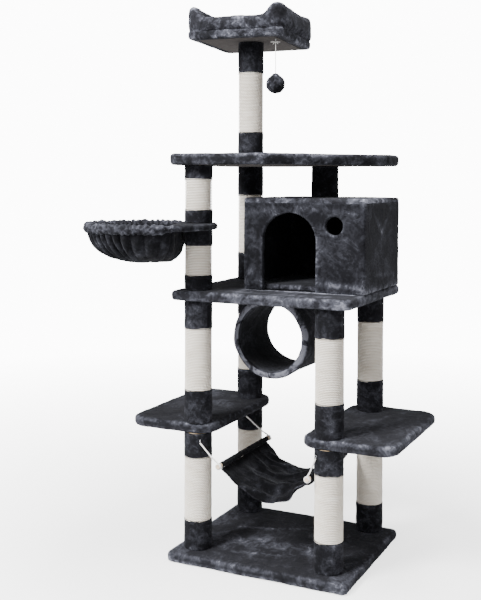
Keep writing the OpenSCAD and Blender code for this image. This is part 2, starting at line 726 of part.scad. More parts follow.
// The mounting board's outline: the side of the hoop's circle that holds the post
module hoop_segment(r, chord, t) {
    translate([0, 0, -t / 2])
        linear_extrude(t)
            intersection() {
                translate([hoop_reach, 0])
                    circle(r = r, $fn = 96);
                translate([hoop_reach - hoop_r - hoop_plush_r, -hoop_r])
                    square([chord - hoop_reach + hoop_r + hoop_plush_r, 2 * hoop_r]);
            }
}
module basket_board() {
    color(WOOD)
        on_basket()
            difference() {
                hoop_segment(hoop_r, BOARD_CHORD, hoop_board_t);
                torus(wire_r);
                drill(0, 0, BORE_R, -BASKET_T, BASKET_T);
            }
}
module basket_hoop() {
    color(STEEL)
        on_basket()
            torus(wire_r);
}
module basket_hoop_cover() {
    slit = 1;
    color(PLUSH)
        on_basket()
            difference() {
                union() {
                    torus(hoop_plush_r);
                    hoop_segment(hoop_r, ARM_CHORD, BASKET_T);
                }
                hoop_segment(hoop_r, BOARD_CHORD, hoop_board_t);
                torus(wire_r);
                translate([hoop_reach, 0, -hoop_plush_r - EPS])
                    ring(hoop_r + slit / 2, slit, 0, hoop_plush_r);
                drill(0, 0, BORE_R, -BASKET_T, BASKET_T);
            }
}
// Half of a bowl's section, from the rim down to the middle
function bowl(r, depth, steps = 12) = concat(
    [[0, 0], [0, -depth]],
    [for (i = [1:steps - 1])
        let (a = 90 * i / steps)
        [r * pow(sin(a), 0.8), -depth * pow(cos(a), 0.75)]],
    [[r, 0]]
);
module bag_space(r, depth, chord) {
    intersection() {
        translate([hoop_reach, 0, 0])
            rotate_extrude($fn = 96)
                polygon(bowl(r, depth));
        translate([chord, -hoop_r, -depth - EPS])
            cube([2 * hoop_r + hoop_reach, 2 * hoop_r, depth + 2 * EPS]);
    }
}
module basket_bag() {
    color(PLUSH)
        on_basket()
            difference() {
                bag_space(hoop_r, bag_depth, BAG_CHORD);
                translate([0, 0, EPS])
                    bag_space(hoop_r - bag_t, bag_depth - bag_t, BAG_CHORD + bag_t);
                torus(hoop_plush_r + bag_seam_gap);
                hoop_segment(hoop_r, ARM_CHORD, BASKET_T + 2 * bag_seam_gap);
            }
}

// Hammock
module hammock_dowels() {
    color(WOOD)
        for (x = [LEFT_DOWEL_X, RIGHT_DOWEL_X])
            translate([x, DOWEL_Y0, DOWEL_Z])
                rotate([-90, 0, 0])
                    cylinder(r = dowel_r, h = DOWEL_Y1 - DOWEL_Y0);
}
module hammock_cloth() {
    cloth_x = (LEFT_DOWEL_X + RIGHT_DOWEL_X) / 2;
    arc_z = DOWEL_Z - cloth_sag + CLOTH_R;
    color(PLUSH)
        translate([0, DOWEL_Y1 - dowel_bare, 0])
            rotate([90, 0, 0])
                linear_extrude(DOWEL_Y1 - DOWEL_Y0 - 2 * dowel_bare)
                    difference() {
                        union() {
                            intersection() {
                                translate([cloth_x, arc_z])
                                    difference() {
                                        circle(r = CLOTH_R + cloth_t / 2, $fn = 96);
                                        circle(r = CLOTH_R - cloth_t / 2, $fn = 96);
                                    }
                                translate([LEFT_DOWEL_X, DOWEL_Z - 2 * cloth_sag])
                                    square([CLOTH_SPAN, 2 * cloth_sag]);
                            }
                            for (x = [LEFT_DOWEL_X, RIGHT_DOWEL_X])
                                translate([x, DOWEL_Z])
                                    circle(r = LOOP_R);
                        }
                        for (x = [LEFT_DOWEL_X, RIGHT_DOWEL_X])
                            translate([x, DOWEL_Z])
                                circle(r = dowel_r + DOWEL_GAP);
                    }
}

// Eye screws: x, y, height, direction of the shank as rotations about X and then Z
function eye(xy, z, about_x, about_z) = [xy[0], xy[1], z, about_x, about_z];
HAMMOCK_EYES = [
    eye(FRONT_LEFT_EYE, EYE_Z, 90, 180 + FRONT_EYE_ANGLE),
    eye(FRONT_RIGHT_EYE, EYE_Z, 90, 180 - FRONT_EYE_ANGLE),
    eye(REAR_LEFT_EYE, EYE_Z, 90, 180 + REAR_EYE_ANGLE),
    eye(REAR_RIGHT_EYE, EYE_Z, 90, 180 - REAR_EYE_ANGLE)
];
function perch_point(p) = [
    PERCH_AT[0] + p[0] * cos(perch_turn) - p[1] * sin(perch_turn),
    PERCH_AT[1] + p[0] * sin(perch_turn) + p[1] * cos(perch_turn)
];
TOY_EYE = eye(perch_point(TOY_AT), TOY_EYE_Z, 0, 0);
module at_eye(e) {
    translate([e[0], e[1], e[2]])
        rotate([0, 0, e[4]])
            rotate([e[3], 0, 0])
                children();
}
module eye_space(e) {
    at_eye(e)
        cylinder(r = EYE_WIRE_R + 0.1, h = EYE_R + EYE_SHANK + 0.2, $fn = 24);
}
module eye_screws() {
    color(STEEL)
        for (e = concat(HAMMOCK_EYES, [TOY_EYE]))
            at_eye(e) {
                rotate([90, 0, 90])
                    rotate_extrude($fn = 32)
                        translate([EYE_R, 0])
                            circle(r = EYE_WIRE_R, $fn = 16);
                translate([0, 0, EYE_R])
                    cylinder(r = EYE_WIRE_R, h = EYE_SHANK, $fn = 24);
            }
}

// Cords: a tube swept along its route, closed at both ends
function cord_ring(p, dir, r, sides) = let (
    d = unit(dir),
    side = unit(cross(d, abs(d[1]) < 0.9 ? [0, 1, 0] : [1, 0, 0])),
    up = cross(side, d)
) [for (k = [0:sides - 1]) p + r * (cos(360 * k / sides) * side + sin(360 * k / sides) * up)];
module cord(route, r, sides = 8) {
    last = len(route) - 1;
    rings = [
        for (i = [0:last])
            cord_ring(route[i], route[min(i + 1, last)] - route[max(i - 1, 0)], r, sides)
    ];
    points = [for (one = rings) for (p = one) p];
    walls = [
        for (i = [0:last - 1], k = [0:sides - 1])
            let (n = (k + 1) % sides)
            [i * sides + k, i * sides + n, (i + 1) * sides + n, (i + 1) * sides + k]
    ];
    ends = [
        [for (k = [sides - 1:-1:0]) k],
        [for (k = [0:sides - 1]) last * sides + k]
    ];
    color(CORD)
        polyhedron(points, concat(walls, ends), convexity = 2);
}
// Steps of a hammock cord from its eye to its knot, as shares of the way across and down
CORD_STEPS = [[0, 0], [0.2, 0.22], [0.45, 0.5], [0.7, 0.77], [1, 1]];
KNOT_ABOVE = dowel_r + cord_r + 0.5;
module hammock_cord(eye_xy, dowel_x) {
    top = [eye_xy[0], eye_xy[1], EYE_Z - EYE_R - EYE_WIRE_R - cord_r];
    end = [dowel_x, eye_xy[1] + KNOT_STEP_Y, DOWEL_Z + KNOT_ABOVE];
    cord([for (s = CORD_STEPS) [
        top[0] + (end[0] - top[0]) * s[0],
        top[1] + (end[1] - top[1]) * s[0],
        top[2] + (end[2] - top[2]) * s[1]
    ]], cord_r);
}
module front_left_hammock_cord() { hammock_cord(FRONT_LEFT_EYE, LEFT_DOWEL_X); }
module front_right_hammock_cord() { hammock_cord(FRONT_RIGHT_EYE, RIGHT_DOWEL_X); }
module rear_left_hammock_cord() { hammock_cord(REAR_LEFT_EYE, LEFT_DOWEL_X); }
module rear_right_hammock_cord() { hammock_cord(REAR_RIGHT_EYE, RIGHT_DOWEL_X); }

// Toy
module toy_knot() {
    color(CORD)
        translate([TOY_EYE[0], TOY_EYE[1], TOY_PIVOT_Z])
            sphere(r = TOY_KNOT_R, $fn = 24);
}
module toy_cord() {
    z0 = TOY_PIVOT_Z - TOY_KNOT_R;
    cord([for (i = [0:6]) [TOY_EYE[0], TOY_EYE[1], z0 - toy_cord_len * i / 6]], toy_cord_r);
}
module toy_ball() {
    color(PLUSH)
        translate([TOY_EYE[0], TOY_EYE[1], BALL_Z])
            sphere(r = ball_r);
}

base_board();
base_cover();
left_shelf_board();
left_shelf_cover();
right_shelf_board();
right_shelf_cover();
middle_board();
middle_cover();
upper_board();
upper_cover();
perch_board();
perch_cover();
perch_rim();
underside_felts();
front_left_tubes();
rear_left_tubes();
front_right_tubes();
rear_right_tubes();
roof_post_tube();
tube_end_plugs();
front_left_lower_sisal();
front_left_middle_sisal();
front_left_upper_sisal();
rear_left_lower_sisal();
rear_left_middle_sisal();
rear_left_upper_sisal();
perch_post_sisal();
front_right_lower_sisal();
front_right_middle_sisal();
rear_right_lower_sisal();
rear_right_middle_sisal();
front_left_sleeves();
rear_left_sleeves();
front_right_sleeves();
rear_right_sleeves();
roof_post_sleeve();
threaded_studs();
platform_bolts();
house_front_panel();
house_back_panel();
house_left_panel();
house_right_panel();
house_floor();
house_roof();
tunnel_tube();
tunnel_cover();
basket_board();
basket_hoop();
basket_hoop_cover();
basket_bag();
hammock_cloth();
hammock_dowels();
eye_screws();
front_left_hammock_cord();
front_right_hammock_cord();
rear_left_hammock_cord();
rear_right_hammock_cord();
toy_knot();
toy_cord();
toy_ball();
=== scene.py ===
# %% [markdown]
# # A plush cat tree
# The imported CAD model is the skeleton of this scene: it is loaded once, and its boxes say where
# everything goes. Each soft part that the skeleton only stands for is then made again here with
# its real look, in metres and in the same frame, and rides on the same body.

# %% Load the frame
import math

import bmesh
import bpy
import numpy as np
from mathutils import Matrix, Vector, noise


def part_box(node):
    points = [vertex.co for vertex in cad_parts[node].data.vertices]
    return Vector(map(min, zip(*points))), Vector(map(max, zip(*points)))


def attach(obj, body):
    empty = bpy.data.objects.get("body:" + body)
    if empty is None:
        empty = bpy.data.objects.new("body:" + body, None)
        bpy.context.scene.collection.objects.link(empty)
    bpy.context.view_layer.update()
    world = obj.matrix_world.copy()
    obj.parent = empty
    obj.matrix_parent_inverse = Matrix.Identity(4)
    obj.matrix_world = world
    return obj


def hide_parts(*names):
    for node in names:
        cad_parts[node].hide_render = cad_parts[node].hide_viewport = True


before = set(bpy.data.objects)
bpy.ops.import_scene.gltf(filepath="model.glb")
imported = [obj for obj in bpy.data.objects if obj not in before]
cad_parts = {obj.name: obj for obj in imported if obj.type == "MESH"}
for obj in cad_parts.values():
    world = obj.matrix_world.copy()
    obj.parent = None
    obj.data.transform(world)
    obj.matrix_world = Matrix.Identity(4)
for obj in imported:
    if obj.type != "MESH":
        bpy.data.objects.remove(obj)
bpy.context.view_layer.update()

# %% [markdown]
# ## Camera
# The view is from the front right, a little above the middle platform, and almost level. A level
# camera keeps upright posts parallel, so most of the framing is done by shifting the lens down
# instead of tilting it.

# %% Camera
CAMERA_AT = Vector((1.216, -2.865, 1.197))
CAMERA_YAW = math.radians(25.74)
CAMERA_TILT = math.radians(-1.5)
CAMERA_ROLL = math.radians(0.15)
camera_data = bpy.data.cameras.new("camera")
camera_data.lens = 57.8
camera_data.shift_y = -0.155
camera = bpy.data.objects.new("camera", camera_data)
camera.matrix_world = (
    Matrix.Translation(CAMERA_AT)
    @ Matrix.Rotation(CAMERA_YAW, 4, "Z")
    @ Matrix.Rotation(math.pi / 2 + CAMERA_TILT, 4, "X")
    @ Matrix.Rotation(CAMERA_ROLL, 4, "Z")
)
bpy.context.scene.collection.objects.link(camera)
bpy.context.scene.camera = camera
print("camera at", tuple(CAMERA_AT), "lens", camera_data.lens)

# %% [markdown]
# ## Building materials from nodes
# Every finish here is procedural. A small builder keeps the node code short: each call adds one
# node, and an input is either a constant or the output of an earlier node. Patterns read object
# coordinates, which are metres here, so a noise scale of 30 makes blotches about 3 cm wide.

# %% A builder for materials
class Finish:
    """A material whose nodes are added one call at a time."""

    def __init__(self, name):
        self.material = bpy.data.materials.new(name)
        self.material.use_nodes = True
        self.tree = self.material.node_tree
        self.tree.nodes.clear()
        self.place = self.add("ShaderNodeTexCoord").outputs["Object"]

    def add(self, kind, inputs=None, **settings):
        node = self.tree.nodes.new(kind)
        for key, value in settings.items():
            setattr(node, key, value)
        for key, value in (inputs or {}).items():
            if isinstance(value, bpy.types.NodeSocket):
                self.tree.links.new(value, node.inputs[key])
            else:
                node.inputs[key].default_value = value
        return node

    def mapped(self, scale=(1, 1, 1), turn=(0, 0, 0), move=(0, 0, 0)):
        inputs = {"Vector": self.place, "Location": move, "Rotation": turn, "Scale": scale}
        return self.add("ShaderNodeMapping", inputs).outputs["Vector"]

    def noise(self, vector, scale, detail=3.0, roughness=0.5, distortion=0.0):
        inputs = {
            "Vector": vector,
            "Scale": scale,
            "Detail": detail,
            "Roughness": roughness,
            "Distortion": distortion,
        }
        return self.add("ShaderNodeTexNoise", inputs).outputs["Fac"]

    def math(self, operation, a, b=0.0, c=0.0):
        return self.add("ShaderNodeMath", {0: a, 1: b, 2: c}, operation=operation).outputs[0]

    def attribute(self, name):
        return self.add("ShaderNodeAttribute", attribute_name=name).outputs["Fac"]

    def ramp(self, factor, stops):
        node = self.add("ShaderNodeValToRGB", {"Fac": factor})
        elements = node.color_ramp.elements
        while len(elements) < len(stops):
            elements.new(0.5)
        for element, (position, colour) in zip(elements, stops):
            element.position = position
            element.color = (*colour, 1)
        return node.outputs["Color"]

    def bump(self, height, strength, distance, normal=None):
        inputs = {"Height": height, "Strength": strength, "Distance": distance}
        if normal is not None:
            inputs["Normal"] = normal
        return self.add("ShaderNodeBump", inputs).outputs["Normal"]

    def shade(self, **inputs):
        named = {
            key.replace("_", " ").title().replace("Ior", "IOR"): value
            for key, value in inputs.items()
        }
        surface = self.add("ShaderNodeBsdfPrincipled", named)
        self.add("ShaderNodeOutputMaterial", {"Surface": surface.outputs["BSDF"]})
        return self.material


# %% [markdown]
# ## The finishes
# Plush is short velvet pile. It looks blotchy because the pile lies in different directions:
# where it leans towards the light it is pale, elsewhere nearly black. Three noises of falling
# size make the brushed patches, the mottling and the flecks. Thin lines show where strokes of a
# hand have parted the pile. Two attributes of the mesh add what noise can't know: "edge" is high
# where the surface turns outwards, and there the colour is lifted as a painted sheen on the rim;
# the other is painted stroke by stroke, as flattened nap and in one place as a painted highlight.

# %% Plush
PILE_DARK = (0.0046, 0.0046, 0.0054)
PILE_MID = (0.0094, 0.0095, 0.0116)
PILE_PALE = (0.034, 0.035, 0.043)
PILE_SHINE = (0.135, 0.138, 0.165)
PILE_STOPS = (0.40, 0.51, 0.63, 0.78)
BRUSHED_SHARE, MOTTLED_SHARE, FLECK_SHARE = 0.38, 0.42, 0.20
PARTING_SHARPNESS = 34.0
PARTING_GAIN = 0.07
STROKE_NAP_AND_HIGHLIGHT_GAIN = 0.45


def plush(name, seed, painted_light_lift=1.0, patches=7.0, mottle=34.0, turn=0.0, edge=0.30, contrast=1.0):
    finish = Finish(name)
    place = finish.mapped((1, 0.7, 1), (0, 0, turn), (seed * 1.7, seed * 0.9, seed * 2.3))
    brushed = finish.noise(place, patches, 3.0, 0.55, 1.4)
    mottled = finish.noise(place, mottle, 6.0, 0.66, 0.8)
    flecks = finish.noise(place, mottle * 5, 3.0, 0.6)
    nap = finish.math("MULTIPLY", mottled, MOTTLED_SHARE)
    nap = finish.math("MULTIPLY_ADD", brushed, BRUSHED_SHARE, nap)
    nap = finish.math("MULTIPLY_ADD", flecks, FLECK_SHARE, nap)
    nap = finish.math("MULTIPLY_ADD", nap, contrast, 0.5 * (1 - contrast))
    parting = finish.noise(place, patches * 1.9, 4.0, 0.6, 2.6)
    parting = finish.math("ABSOLUTE", finish.math("SUBTRACT", parting, 0.5))
    parting = finish.math("MULTIPLY_ADD", parting, -PARTING_SHARPNESS, 1.0)
    parting = finish.math("MAXIMUM", parting, 0.0)
    brushed_hard = finish.math("MULTIPLY_ADD", brushed, 14.0, -7.4)
    brushed_hard = finish.math("MINIMUM", finish.math("MAXIMUM", brushed_hard, 0.0), 1.0)
    parted = finish.math("MULTIPLY", parting, brushed_hard)
    nap = finish.math("MULTIPLY_ADD", parted, PARTING_GAIN, nap)
    broken = finish.math("MULTIPLY_ADD", mottled, 2.4, -0.7)
    # painted sheen: the colour is lifted where the surface turns outwards, broken up by the
    # mottling
    edge_sheen = finish.math("MULTIPLY", finish.attribute("edge"), broken)
    nap = finish.math("MULTIPLY_ADD", edge_sheen, edge, nap)
    # brush strokes: flattened nap, and on the middle platform a painted highlight
    stroked_nap_and_highlight = finish.math("MULTIPLY", finish.attribute("stroke_nap_and_highlight"), broken)
    nap = finish.math("MULTIPLY_ADD", stroked_nap_and_highlight, STROKE_NAP_AND_HIGHLIGHT_GAIN, nap)
    shades = [PILE_DARK, PILE_MID, PILE_PALE, PILE_SHINE]
    # painted light and shade: the lift scales the whole ramp per piece, so the one plush comes in
    # lit and shaded copies
    stops = [(stop, tuple(c * painted_light_lift for c in shade)) for stop, shade in zip(PILE_STOPS, shades)]
    pile = finish.noise(finish.place, 1300.0, 2.0, 0.7)
    normal = finish.bump(mottled, 0.40, 0.005)
    normal = finish.bump(pile, 0.45, 0.0006, normal)
    return finish.shade(
        base_color=finish.ramp(nap, stops),
        roughness=0.95,
        specular_ior_level=0.05,
        sheen_weight=0.05,
        sheen_roughness=0.45,
        sheen_tint=(0.80, 0.82, 0.92, 1),
        normal=normal,
    )


# %% [markdown]
# Sisal rope and white cord are both twisted strands. Their tubes carry two attributes, the
# distance along the strand and the share of the way around it, so the twist follows the rope.

# %% Rope and cord
def twisted(name, colours, lay, strands, depth, fuzz):
    finish = Finish(name)
    along = finish.math("DIVIDE", finish.attribute("along"), lay)
    phase = finish.math("MULTIPLY_ADD", finish.attribute("around"), strands, along)
    ridge_and_groove_shade = finish.math("SINE", finish.math("MULTIPLY", phase, 2 * math.pi))
    ridge_and_groove_shade = finish.math("MULTIPLY_ADD", ridge_and_groove_shade, 0.5, 0.5)
    fibres = finish.noise(finish.place, 900.0, 4.0, 0.7)
    flecks = finish.noise(finish.mapped((1, 1, 2.2)), 170.0, 4.0, 0.75)
    stains = finish.noise(finish.mapped((1, 1, 4)), 16.0, 4.0, 0.6)
    # the ridge share darkens the grooves between strands: painted shade in the rope's recesses,
    # mixed with its stains, flecks and fibres
    tone = finish.math("MULTIPLY_ADD", ridge_and_groove_shade, 0.20, finish.math("MULTIPLY", stains, 0.30))
    tone = finish.math("MULTIPLY_ADD", flecks, 0.35, tone)
    tone = finish.math("MULTIPLY_ADD", fibres, 0.15, tone)
    normal = finish.bump(ridge_and_groove_shade, 0.6, depth)
    normal = finish.bump(fibres, fuzz, 0.0005, normal)
    stops = list(zip((0.32, 0.5, 0.68), colours))
    return finish.shade(
        base_color=finish.ramp(tone, stops),
        roughness=0.85,
        specular_ior_level=0.2,
        sheen_weight=0.15,
        normal=normal,
    )


SISAL = twisted(
    "sisal rope",
    [(0.58, 0.50, 0.40), (0.83, 0.78, 0.70), (0.95, 0.92, 0.87)],
    0.009, 3, 0.0008, 0.5,
)
WHITE_CORD = twisted(
    "white cord",
    [(0.72, 0.71, 0.68), (0.84, 0.83, 0.81), (0.93, 0.92, 0.90)],
    0.006, 4, 0.0004, 0.3,
)


# %% [markdown]
# The remaining finishes belong to parts that barely show: the felt under the platforms, the
# chipboard and cardboard inside, the raw wood of the dowels and plugs, and zinc-plated steel.

# %% Felt, board, card, wood and steel
def speckled(name, colours, coarse, fine, stretch=(1, 1, 1), depth=0.0006, **gloss):
    finish = Finish(name)
    place = finish.mapped(stretch)
    blotch = finish.noise(place, coarse, 5.0, 0.65, 0.4)
    grain = finish.noise(place, fine, 3.0, 0.6)
    tone = finish.math("MULTIPLY_ADD", blotch, 0.6, finish.math("MULTIPLY", grain, 0.4))
    stops = list(zip((0.34, 0.5, 0.66), colours))
    settings = {"roughness": 0.9, "specular_ior_level": 0.2, **gloss}
    return finish.shade(
        base_color=finish.ramp(tone, stops),
        normal=finish.bump(grain, 0.5, depth),
        **settings,
    )


FELT = speckled(
    "underside felt",
    [(0.052, 0.046, 0.044), (0.075, 0.067, 0.065), (0.100, 0.091, 0.088)],
    60.0, 700.0,
)
CHIPBOARD = speckled(
    "chipboard",
    [(0.40, 0.28, 0.16), (0.58, 0.43, 0.27), (0.72, 0.58, 0.40)],
    120.0, 600.0,
)
CARDBOARD = speckled(
    "cardboard",
    [(0.40, 0.29, 0.18), (0.50, 0.37, 0.24), (0.58, 0.45, 0.31)],
    25.0, 500.0, (1, 1, 6),
)
PLUG_WOOD = speckled(
    "plug wood",
    [(0.52, 0.38, 0.22), (0.66, 0.50, 0.32), (0.76, 0.62, 0.43)],
    60.0, 400.0, (1, 1, 0.2),
)
DOWEL_WOOD = speckled(
    "dowel wood",
    [(0.62, 0.46, 0.33), (0.76, 0.60, 0.45), (0.86, 0.73, 0.58)],
    90.0, 700.0, (1, 0.08, 1), 0.0002, roughness=0.55,
)
STEEL = speckled(
    "zinc plated steel",
    [(0.46, 0.47, 0.49), (0.58, 0.59, 0.61), (0.70, 0.71, 0.72)],
    150.0, 900.0, (1, 1, 1), 0.0001, roughness=0.32, metallic=1.0, specular_ior_level=0.5,
)

# %% [markdown]
# A CAD part whose shape is already right keeps its mesh and only changes its finish.

# %% Finishes for the parts that stay as they are
KEPT_FINISH = {
    CHIPBOARD: ("_board",),
    CARDBOARD: ("_tubes", "roof_post_tube", "tunnel_tube"),
    PLUG_WOOD: ("tube_end_plugs",),
    DOWEL_WOOD: ("hammock_dowels",),
    STEEL: ("threaded_studs", "platform_bolts", "eye_screws", "basket_hoop"),
    FELT: ("underside_felts",),
}
painted = []
for node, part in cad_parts.items():
    for finish, endings in KEPT_FINISH.items():
        if node.endswith(endings):
            part.data.materials.clear()
            part.data.materials.append(finish)
            painted.append(node)
print(len(painted), "CAD parts keep their mesh")


# %% [markdown]
# ## Helpers
# The CAD groups like parts in one node, for example the sleeves of one post. A merged copy of
# its mesh is walked island by island, which gives the box of every separate sleeve or rope wrap.

# %% Where the solids of a node are
def solids(node):
    """The (lowest corner, highest corner) of each separate solid in a CAD node, bottom first."""
    mesh = bmesh.new()
    mesh.from_mesh(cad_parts[node].data)
    bmesh.ops.remove_doubles(mesh, verts=mesh.verts, dist=1e-6)
    unseen = set(mesh.verts)
    boxes = []
    while unseen:
        island = [unseen.pop()]
        for vert in island:
            for edge in vert.link_edges:
                other = edge.other_vert(vert)
                if other in unseen:
                    unseen.remove(other)
                    island.append(other)
        points = np.array([vert.co for vert in island])
        boxes.append((points.min(axis=0), points.max(axis=0)))
    mesh.free()
    return sorted(boxes, key=lambda box: box[0][2])


def middle(box):
    return (np.array(box[0]) + np.array(box[1])) / 2


# %% [markdown]
# A finished piece is a plain mesh with smooth shading and one material, linked to the scene.
# `relief` moves each point along its normal by a few noises, which gives padding and pile the
# slight unevenness that keeps a large surface from looking machined.

# %% Pieces and their relief
def piece(name, mesh, material):
    mesh.name = name
    mesh.materials.clear()
    mesh.materials.append(material)
    mesh.shade_smooth()
    thing = bpy.data.objects.new(name, mesh)
    bpy.context.scene.collection.objects.link(thing)
    return thing


def mesh_of(points, faces):
    mesh = bpy.data.meshes.new("draft")
    mesh.from_pydata([tuple(map(float, p)) for p in points], [], faces)
    mesh.update()
    return mesh


def read_points(mesh):
    flat = np.empty(len(mesh.vertices) * 3, dtype=np.float32)
    mesh.vertices.foreach_get("co", flat)
    return flat.reshape(-1, 3).astype(float)


def read_normals(mesh):
    flat = np.empty(len(mesh.vertices) * 3, dtype=np.float32)
    mesh.vertex_normals.foreach_get("vector", flat)
    return flat.reshape(-1, 3).astype(float)


def write_points(mesh, points):
    mesh.vertices.foreach_set("co", points.astype(np.float32).ravel())
    mesh.update()


def relief(mesh, layers, seed=0.0):
    """layers: (wavelength, height) in metres, largest first."""
    points = read_points(mesh)
    normals = read_normals(mesh)
    offset = Vector((seed, seed * 1.3, seed * 0.7))
    height = np.zeros(len(points))
    for wavelength, amount in layers:
        scaled = points / wavelength
        height += amount * np.array([noise.noise(Vector(p) + offset) for p in scaled])
    write_points(mesh, points + normals * height[:, None])


# %% [markdown]
# Two measures of the finished mesh go to the plush finish. The first compares each point with
# its neighbours: where they all lie below it, the surface turns outwards, as at the rim of a
# doorway, and the finish paints a pale sheen there. The second adds soft brush strokes, each a
# line with a width and a strength, that paint flattened nap and, on the middle platform, a
# highlight where light falls.

# %% Edges and brush strokes
EDGE_GAIN = 9.0
EDGE_LEAST = 0.10
EDGE_SMOOTHING = 4


def store(mesh, label, values):
    layer = mesh.attributes.new(label, "FLOAT", "POINT")
    layer.data.foreach_set("value", values.astype(np.float32))


def mark_sheen_edges(mesh):
    points, normals = read_points(mesh), read_normals(mesh)
    ends = np.empty(len(mesh.edges) * 2, dtype=np.int32)
    mesh.edges.foreach_get("vertices", ends)
    a, b = ends.reshape(-1, 2).T
    count = np.maximum(np.bincount(np.r_[a, b], minlength=len(points)), 1)

    def around(values):
        return np.bincount(np.r_[a, b], np.r_[values[b], values[a]], len(points)) / count

    step = np.linalg.norm(points[a] - points[b], axis=1).mean()
    neighbours = np.stack([around(points[:, k]) for k in range(3)], axis=1)
    outwards = np.sum((points - neighbours) * normals, axis=1) / step
    for _ in range(EDGE_SMOOTHING):
        outwards = (outwards + around(outwards)) / 2
    store(mesh, "edge", np.clip(outwards * EDGE_GAIN - EDGE_LEAST, 0, 1))


def brush(mesh, strokes):
    """strokes: (start, end, width, strength) in the model's own places."""
    points = read_points(mesh)
    stroke_nap_and_highlight = np.zeros(len(points))
    for start, end, width, strength in strokes:
        start, way = np.array(start), np.array(end) - np.array(start)
        share = np.clip((points - start) @ way / max(way @ way, 1e-9), 0, 1)
        away = np.linalg.norm(points - start - share[:, None] * way, axis=1)
        stroke_nap_and_highlight += strength * np.exp(-((away / width) ** 2))
    store(mesh, "stroke_nap_and_highlight", stroke_nap_and_highlight)


def plush_piece(name, mesh, material, strokes=()):
    mark_sheen_edges(mesh)
    if strokes:
        brush(mesh, strokes)
    return piece(name, mesh, material)


# %% [markdown]
# Many pieces are flat slabs with a padded, rounded edge. The cheapest way to one is a filled 2D
# curve with a bevel, because holes come for free. A voxel remesh then turns it into even, dense
# faces that can be pushed about, and a few rounds of smoothing soften what is still sharp.

# %% Slabs from an outline
def live_mesh(thing):
    """The plain mesh that an object's modifiers or curve settings give. The object goes."""
    bpy.context.view_layer.update()
    ready = thing.evaluated_get(bpy.context.evaluated_depsgraph_get())
    mesh = bpy.data.meshes.new_from_object(ready)
    bpy.data.objects.remove(thing)
    return mesh


def remeshed(mesh, voxel, smoothing=0):
    thing = piece("draft", mesh, FELT)
    remesh = thing.modifiers.new("even faces", "REMESH")
    remesh.mode = "VOXEL"
    remesh.voxel_size = voxel
    if smoothing:
        smooth = thing.modifiers.new("soft edges", "SMOOTH")
        smooth.factor = 0.5
        smooth.iterations = smoothing
    return live_mesh(thing)


def slab(outline, bottom, top, edge, holes=()):
    """A slab between two heights with edges rounded by `edge`. Holes run the other way round."""
    curve = bpy.data.curves.new("slab", "CURVE")
    curve.dimensions = "2D"
    curve.fill_mode = "BOTH"
    curve.extrude = (top - bottom) / 2 - edge
    curve.bevel_depth = edge
    curve.bevel_resolution = 3
    curve.offset = -edge
    for loop in (outline, *holes):
        spline = curve.splines.new("POLY")
        spline.points.add(len(loop) - 1)
        for point, (x, y) in zip(spline.points, loop):
            point.co = (x, y, 0, 1)
        spline.use_cyclic_u = True
    thing = bpy.data.objects.new("slab", curve)
    bpy.context.scene.collection.objects.link(thing)
    mesh = live_mesh(thing)
    mesh.transform(Matrix.Translation((0, 0, (top + bottom) / 2)))
    return mesh


def inset(corners, amount):
    """An anticlockwise outline with straight sides, moved inwards."""
    moved = []
    for i, corner in enumerate(corners):
        before = (corner - corners[i - 1]).normalized()
        after = (corners[(i + 1) % len(corners)] - corner).normalized()
        n, m = Vector((-before.y, before.x)), Vector((-after.y, after.x))
        moved.append(corner + (n + m) * amount / (1 + n.dot(m)))
    return moved


def rounded(corners, radius, steps=8):
    """The same outline with its corners rounded."""
    loop = []
    for i, corner in enumerate(corners):
        back = (corners[i - 1] - corner).normalized()
        ahead = (corners[(i + 1) % len(corners)] - corner).normalized()
        half = back.angle(ahead) / 2
        centre = corner + (back + ahead).normalized() * radius / math.sin(half)
        arm = corner + back * radius / math.tan(half) - centre
        start = math.atan2(arm.y, arm.x)
        for k in range(steps + 1):
            angle = start + (math.pi - 2 * half) * k / steps
            loop.append((centre.x + radius * math.cos(angle), centre.y + radius * math.sin(angle)))
    return loop


def rectangle(low, high):
    (left, front), (right, rear) = low[:2], high[:2]
    corners = (left, front), (right, front), (right, rear), (left, rear)
    return [Vector(corner) for corner in corners]


def depth_inside(points, corners, radius):
    """How far each point is inside a rounded outline."""
    sides = []
    for i, corner in enumerate(corners):
        along = (corners[(i + 1) % len(corners)] - corner).normalized()
        normal = np.array((-along.y, along.x))
        sides.append((points[:, :2] - np.array(corner)) @ normal)
    sides = np.array(sides)
    outside = np.linalg.norm(np.maximum(radius - sides, 0), axis=0)
    return np.where(outside > 0, radius - outside, sides.min(axis=0))


# %% [markdown]
# Round things are a closed outline swept around an axis. The outline is a list of (radius,
# height) points that runs up the outside and down the inside, so the result is a closed ring.

# %% Rings from an outline
def swept_ring(profile, turns, centre=(0, 0, 0)):
    """A closed (radius, height) outline swept around the Z axis."""
    count = len(profile)
    points = []
    for k in range(turns):
        angle = 2 * math.pi * k / turns
        for radius, height in profile:
            spot = (radius * math.cos(angle), radius * math.sin(angle), height)
            points.append([a + b for a, b in zip(spot, centre)])
    faces = []
    for k in range(turns):
        for j in range(count):
            n, i = (k + 1) % turns, (j + 1) % count
            faces.append((k * count + j, n * count + j, n * count + i, k * count + i))
    return mesh_of(points, faces)


